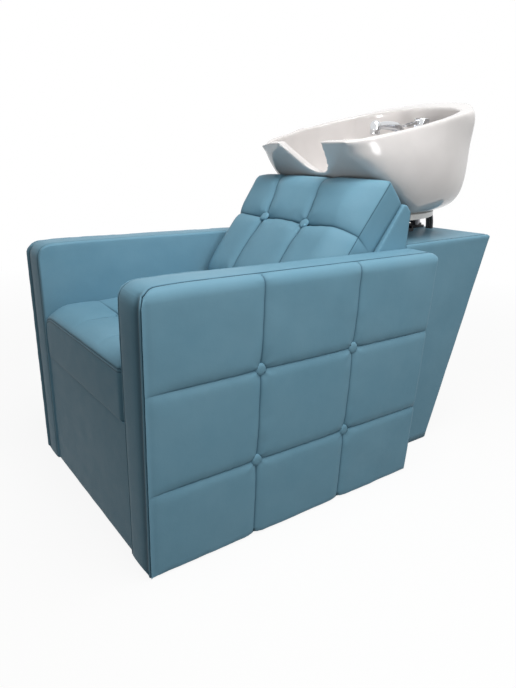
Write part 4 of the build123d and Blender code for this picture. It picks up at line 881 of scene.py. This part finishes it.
def placeBack(a, b, h):
    (y, z), half, rise, run = (backForm[key] for key in ("origin", "half", "rise", "run"))
    waist = 1 - backForm["waist"] * unit(1 - (2 * b / backForm["waistHeight"] - 1) ** 2)
    drawn = backForm["drawn"] * unit(b / backForm["drawnRun"]) * (1 - unit(a / half))
    cut = (backForm["seatLevel"] - z - run * h) / rise
    t = np.maximum(backForm["topSlant"] * h - b, cut)
    return (a - half) * waist + drawn, y + t * run - h * rise, z + t * rise + h * run


upholster("back_cushion", backCushion, placeBack, "back_cushion", (1,), "back_buttons")
print("back upholstered")


# Cast and covered bodies whose edges are softer than the solids' own
def softened(name, node, slot, body, voxel, rounds, share):
    piece = addObject(name, nodes[node].data.copy())
    grid = piece.modifiers.new("grid", "REMESH")
    grid.mode, grid.voxel_size, grid.use_smooth_shade = "VOXEL", voxel, True
    soft = piece.modifiers.new("soft", "SMOOTH")
    soft.factor, soft.iterations = share, rounds
    evaluated = piece.evaluated_get(bpy.context.evaluated_depsgraph_get())
    mesh = bpy.data.meshes.new_from_object(evaluated)
    piece.modifiers.clear()
    piece.data = mesh
    mesh.name = name
    return dress(piece, slot, body, (node,))


def vertexPlaces(mesh):
    places = np.empty(len(mesh.vertices) * 3)
    mesh.vertices.foreach_get("co", places)
    return places.reshape(-1, 3)


def swell(piece, centre, spread, move):
    # Draws the surface out smoothly round a place, as the wet clay was worked
    mesh = piece.data
    places = vertexPlaces(mesh)
    share = np.exp(-(((places - centre) / spread) ** 2).sum(-1))
    mesh.vertices.foreach_set("co", (places + share[:, None] * np.array(move)).ravel())
    mesh.update()


def melt(piece, path, reach, rounds):
    # Evens out a crease by drawing each point towards its neighbours, near the path on both sides
    mesh, pull, least = piece.data, 0.5, 0.002
    places, ties = vertexPlaces(mesh), np.empty(len(mesh.edges) * 2, dtype=np.int64)
    count = len(places)
    mesh.edges.foreach_get("vertices", ties)
    ties = ties.reshape(-1, 2)
    mirrored = np.abs(places * (1, 0, 0)) + places * (0, 1, 1)
    route = np.concatenate([np.linspace(before, after, 9) for before, after in zip(path, path[1:])])
    away = np.min([np.linalg.norm(mirrored - spot, axis=1) for spot in route], axis=0)
    share = pull * np.exp(-(away / reach) ** 4)
    ties = ties[(share[ties] > least).any(1)]
    ends, others = np.concatenate([ties, ties[:, ::-1]]).T
    number = np.maximum(np.bincount(ends, minlength=count), 1)
    for _ in range(rounds):
        middle = np.stack([np.bincount(ends, places[others, k], count) / number for k in range(3)], -1)
        places = np.where((share > least)[:, None], places + share[:, None] * (middle - places), places)
    mesh.vertices.foreach_set("co", places.ravel())
    mesh.update()


basinSpec = {
    "grid": 0.0032, "rounds": 26, "factor": 0.5, "creaseReach": 0.036, "creaseRounds": 170,
    "crease": [(0.192, 0.672, 0.834), (0.203, 0.69, 0.82), (0.213, 0.713, 0.8), (0.219, 0.737, 0.78),
               (0.224, 0.769, 0.76), (0.225, 0.802, 0.74), (0.212, 0.834, 0.72)],
    # place from the front, spread and move of each swelling
    "swells": [((-0.222, 1.05, 0.972), (0.06, 0.08, 0.03), (0.008, -0.005, -0.004)),
               ((0.222, 1.05, 0.972), (0.06, 0.08, 0.03), (-0.008, -0.005, -0.004)),
               ((0.178, 0.65, 0.852), (0.03, 0.035, 0.022), (-0.007, 0.006, 0)),
               ((-0.165, 0.64, 0.88), (0.03, 0.035, 0.022), (0.009, 0.003, -0.008)),
               ((-0.235, 0.83, 0.93), (0.04, 0.026, 0.03), (0.001, 0, 0.006))],
}
shellSpec = {"grid": 0.003, "rounds": 6, "factor": 0.5,
             "swells": [((side * 0.247, 0.7435, 0.722), (0.12, 0.06, 0.05), (0, 0.003, 0.008))
                        for side in (-1, 1)]}
for name, node, slot, body, spec in (
        ("basin_glazed", "basin", "basin_ceramic", "basin", basinSpec),
        ("back_shell_covered", "back_shell", "leatherette", "chair", shellSpec)):
    piece = softened(name, node, slot, body, spec["grid"], spec["rounds"], spec["factor"])
    if "crease" in spec:
        melt(piece, inFrame(spec["crease"]), spec["creaseReach"], spec["creaseRounds"])
    for centre, spread, move in spec["swells"]:
        swell(piece, inFrame([centre])[0], spread, move)
print("basin cast and shell covered")


# Hand spray: a chromed shell, thick at the neck, that bends forward and drops into a domed head
spraySpec = {
    "place": (-0.02, 1.052), "seat": 0.8972, "head": 0.941, "foot": 0.898, "sides": 40,
    # share of the length, radius
    "swelling": [(0, 0.0109), (0.14, 0.0109), (0.24, 0.012), (0.45, 0.0132), (0.7, 0.0128), (0.9, 0.0112),
                 (1, 0.008)],
    # radius, height over the foot
    "dome": [(0, 0.0382), (0.004, 0.0379), (0.009, 0.036), (0.013, 0.0318), (0.015, 0.0265), (0.0155, 0.02),
             (0.015, 0.014), (0.0152, 0.0125), (0.0142, 0.0115), (0.0143, 0.003), (0.0138, 0.0005),
             (0.0128, 0), (0.0127, 0.0035)],
}


def smoothCurve(route, perPoint=12):
    data = bpy.data.curves.new("route", "CURVE")
    data.dimensions = "3D"
    spline = data.splines.new("NURBS")
    spline.points.add(len(route) - 1)
    for point, place in zip(spline.points, route):
        point.co = (*place, 1)
    spline.order_u = 3
    spline.use_endpoint_u = True
    data.resolution_u = perPoint
    guide = bpy.data.objects.new("route", data)
    line = [Vector(v.co) for v in guide.to_mesh().vertices]
    guide.to_mesh_clear()
    bpy.data.objects.remove(guide)
    return line


def tube(line, radii, sides):
    # Round rod along a line, closed at both ends, with lengthwise coordinates in metres
    points, coords, run = [], [], 0.0
    pairs = zip(line[:1] + line[:-1], line[1:] + line[-1:])
    tangents = [(after - before).normalized() for before, after in pairs]
    across = tangents[0].orthogonal().normalized()
    for i, (centre, along, radius) in enumerate(zip(line, tangents, radii)):
        across = (across - along * across.dot(along)).normalized()
        points += ringPoints(centre, across, along.cross(across), radius, sides)
        if i:
            before, run = run, run + (centre - line[i - 1]).length
            girth = 2 * math.pi * radius / sides
            for k in range(sides):
                coords.append([(before, k * girth), (before, (k + 1) * girth), (run, (k + 1) * girth),
                               (run, k * girth)])
    return points, rodFaces(len(line), sides), coords + [[(0, 0)] * sides] * 2


def sprayShell():
    x, y = spraySpec["place"]
    seat, head, foot, sides = (spraySpec[key] for key in ("seat", "head", "foot", "sides"))
    route = [(y, seat - 0.026), (y, seat), (y - 0.001, seat + 0.013), (y - 0.01, seat + 0.023),
             (y - 0.038, seat + 0.027), (y - 0.075, seat + 0.028), (head + 0.006, foot + 0.022)]
    line = smoothCurve(inFrame([(x, *spot) for spot in route]), 10)
    radii = np.interp(np.linspace(0, 1, len(line)), *zip(*spraySpec["swelling"])).tolist()
    neck = tube(line, radii, sides)[:2]
    dome = lathe(spraySpec["dome"], Vector((x, fromFront(head), foot)), Vector((0, 0, 1)), sides)
    points, faces = joinShapes([neck, dome])
    return makePiece("hand_spray_plated", points, faces, "tap_chrome", "hand_spray", ("hand_spray",))


sprayShell()
print("spray shaped")


# Cabinet cover: the top panel is sewn to the sides at the rounded edges
cabinet = {
    "half": 0.2485, "top": 0.627, "foot": 0.004, "front": 0.809, "rearFoot": 1.036, "rearTop": 1.187,
    "edge": (0.01, 0.02), "power": 3.2, "seamIn": 0.0105, "skin": 0.0026, "seed": 171,
    "uneven": 0.0005, "unevenBends": (0.16, 0.14), "slant": 0.3, "groove": 0.0016,
    "grooveReach": 0.0026, "pucker": 0.0004, "puckerReach": 0.004, "puckerBend": 0.013,
    "rise": 0.006, "riseFrom": 0.45, "riseRun": 0.17, "seamTicks": (0.0014, 0.007), "levelShare": 0.9,
    "rearRound": 0.012, "rearDrop": (0.003, 0.007),
}
cabinetThread = {"facing": Vector((0, 0, 1)), "pitch": 0.0065, "length": 0.0048, "radius": 0.0007}
cabinetThreadRun, cabinetThreadIn, cabinetThreadHeight = (0.822, 1.166), 0.0032, 0.6271


def cabinetOutline():
    # Half of the section: up the side, round the edge, over the seam to the middle; then mirrored
    half, top, foot = cabinet["half"], cabinet["top"], cabinet["foot"]
    rx, rz = cabinet["edge"]
    angles = np.linspace(0, math.pi / 2, 15)
    cornerX = half - rx + rx * np.cos(angles) ** (2 / cabinet["power"])
    cornerZ = top - rz + rz * np.sin(angles) ** (2 / cabinet["power"])
    seam = half - cabinet["seamIn"]
    sideZ = np.linspace(foot, top - rz, 30)[:-1]
    tick, wider = cabinet["seamTicks"]
    acrossX = np.concatenate([seam + tick * np.arange(3, -4, -1), np.linspace(seam - wider, 0, 16)])
    x = np.concatenate([np.full(len(sideZ), half), cornerX, acrossX[acrossX < cornerX[-1] - 1e-4]])
    z = np.concatenate([sideZ, cornerZ, np.full(len(x) - len(sideZ) - len(cornerZ), top)])
    return np.concatenate([x, -x[-2::-1]]), np.concatenate([z, z[-2::-1]]), seam


def cabinetCover():
    spec = cabinet
    x, z, seam = cabinetOutline()
    slopeX, slopeZ = np.gradient(x), np.gradient(z)
    length = np.maximum(np.hypot(slopeX, slopeZ), 1e-9)
    outX, outZ = (slopeZ / length)[:, None], (-slopeX / length)[:, None]
    run = np.concatenate([np.linspace(0, 0.9, 34), np.linspace(0.915, 0.96, 4), np.linspace(0.968, 1, 9)])
    rearFoot, rearRun = spec["rearFoot"], spec["rearTop"] - spec["rearFoot"]
    rear = (rearFoot + rearRun * (z - spec["foot"]) / (spec["top"] - spec["foot"]))[:, None]
    gridX, gridZ = x[:, None] + 0 * run, z[:, None] + 0 * run
    gridY = spec["front"] + (rear - spec["front"]) * run
    onTop, off = np.abs(outZ) > spec["levelShare"], np.abs(gridX) - seam
    groove = np.exp(-(off / spec["grooveReach"]) ** 2) * onTop
    near = np.exp(-np.abs(off) / spec["puckerReach"]) * onTop
    bends, seed = spec["unevenBends"], spec["seed"]
    push = spec["uneven"] * wavy(gridY + spec["slant"] * gridZ, seed, bends[0])
    push = push * wavy(gridZ + gridX, seed + 1, bends[1])
    push += -spec["groove"] * groove + spec["pucker"] * near * wavy(gridY, seed + 2, spec["puckerBend"])
    # the top rises a little towards the rear, and rounds off at its edge
    upper = unit((z - spec["riseFrom"]) / spec["riseRun"])[:, None]
    push += (spec["rise"] * run * upper) * unit(outZ)
    atRear = unit(1 - (rear - gridY) / spec["rearRound"])
    push -= (spec["rearDrop"][0] + spec["rearDrop"][1] * onTop) * (1 - np.sqrt(1 - atRear ** 2))
    levels = [np.stack([gridX + outX * (push - depth), fromFront(gridY), gridZ + outZ * (push - depth)], -1)
              for depth in (0, spec["skin"])]
    points = np.concatenate([level.reshape(-1, 3) for level in levels])
    quads, border = sheetFaces(np.arange(gridX.size).reshape(gridX.shape))
    after, inner = np.roll(border, -1), gridX.size
    faces = quads[:, [0, 3, 2, 1]].tolist() + (quads[:, [1, 2, 3, 0]] + inner).tolist()
    faces += np.stack([border, after, after + inner, border + inner], -1).tolist()
    # painted shade: the seam groove on the top is darkened in the colour as well, none on the inner skin
    shade = np.concatenate([groove.ravel(), np.zeros(inner)])
    return makePiece("cabinet_wrap_sewn", points, outward(points, faces), "leatherette", "chair",
                     ("cabinet_wrap",), shade=shade)


cabinetCover()
for side, name in ((1, "right"), (-1, "left")):
    x = side * (cabinet["half"] - cabinet["seamIn"] - cabinetThreadIn)
    topEdge = inFrame([(x, y, cabinetThreadHeight) for y in np.linspace(*cabinetThreadRun, 40)])
    stitches("cabinet_topstitch_" + name, topEdge, **cabinetThread)
print("cabinet seams sewn")


# Hoses
hoseSpec = {
    "radius": 0.0055, "gap": 0.0024, "sides": 20, "mixer": (0.05, 1.055, 0.8507),
    "valve": (0.03, 1.0334, 0.174), "valveOut": 0.035, "drop": 0.063,
    "bendStart": (0.056, 0.555, 0.64), "bendEnd": (0.056, 0.462, 0.845),
}


def hoseRoute(side):
    # Points in metres, the same as the solid's
    (x, y, top), (endX, endY, endZ) = hoseSpec["mixer"], hoseSpec["valve"]
    half = side * (hoseSpec["radius"] + hoseSpec["gap"] / 2)
    drop, endX = hoseSpec["drop"] + half, endX + side * hoseSpec["valveOut"]
    route = [
        (x + half, y, top), (x + half, y, top - 0.04), (x + half + 0.002, y + 0.02, top - 0.084),
        (drop - 0.002, y + 0.047, top - 0.124), (drop, y + 0.076, top - 0.161),
        (drop, y + 0.093, top - 0.201), (drop, y + 0.094, top - 0.255), (drop - 0.001, y + 0.08, top - 0.315),
        (drop - 0.004, y + 0.056, top - 0.374), (drop + side * 0.003, y + 0.026, top - 0.436),
        (drop + side * 0.009, y - 0.005, top - 0.498), (endX - side * 0.006, endY + 0.012, endZ + 0.108),
        (endX, endY, endZ + 0.054), (endX, endY, endZ),
    ]
    return inFrame(route)


for side, name in ((1, "cold"), (-1, "hot")):
    line = smoothCurve(hoseRoute(side))
    points, faces, coords = tube(line, [hoseSpec["radius"]] * len(line), hoseSpec["sides"])
    hose = makePiece("supply_hose_braided_" + name, points, faces, "hose_rubber", None,
                     ("supply_hose_" + name,))
    layer = hose.data.uv_layers.new(name="lengthwise")
    layer.data.foreach_set("uv", [value for face in coords for pair in face for value in pair])
    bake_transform(hose)
print("hoses laid")
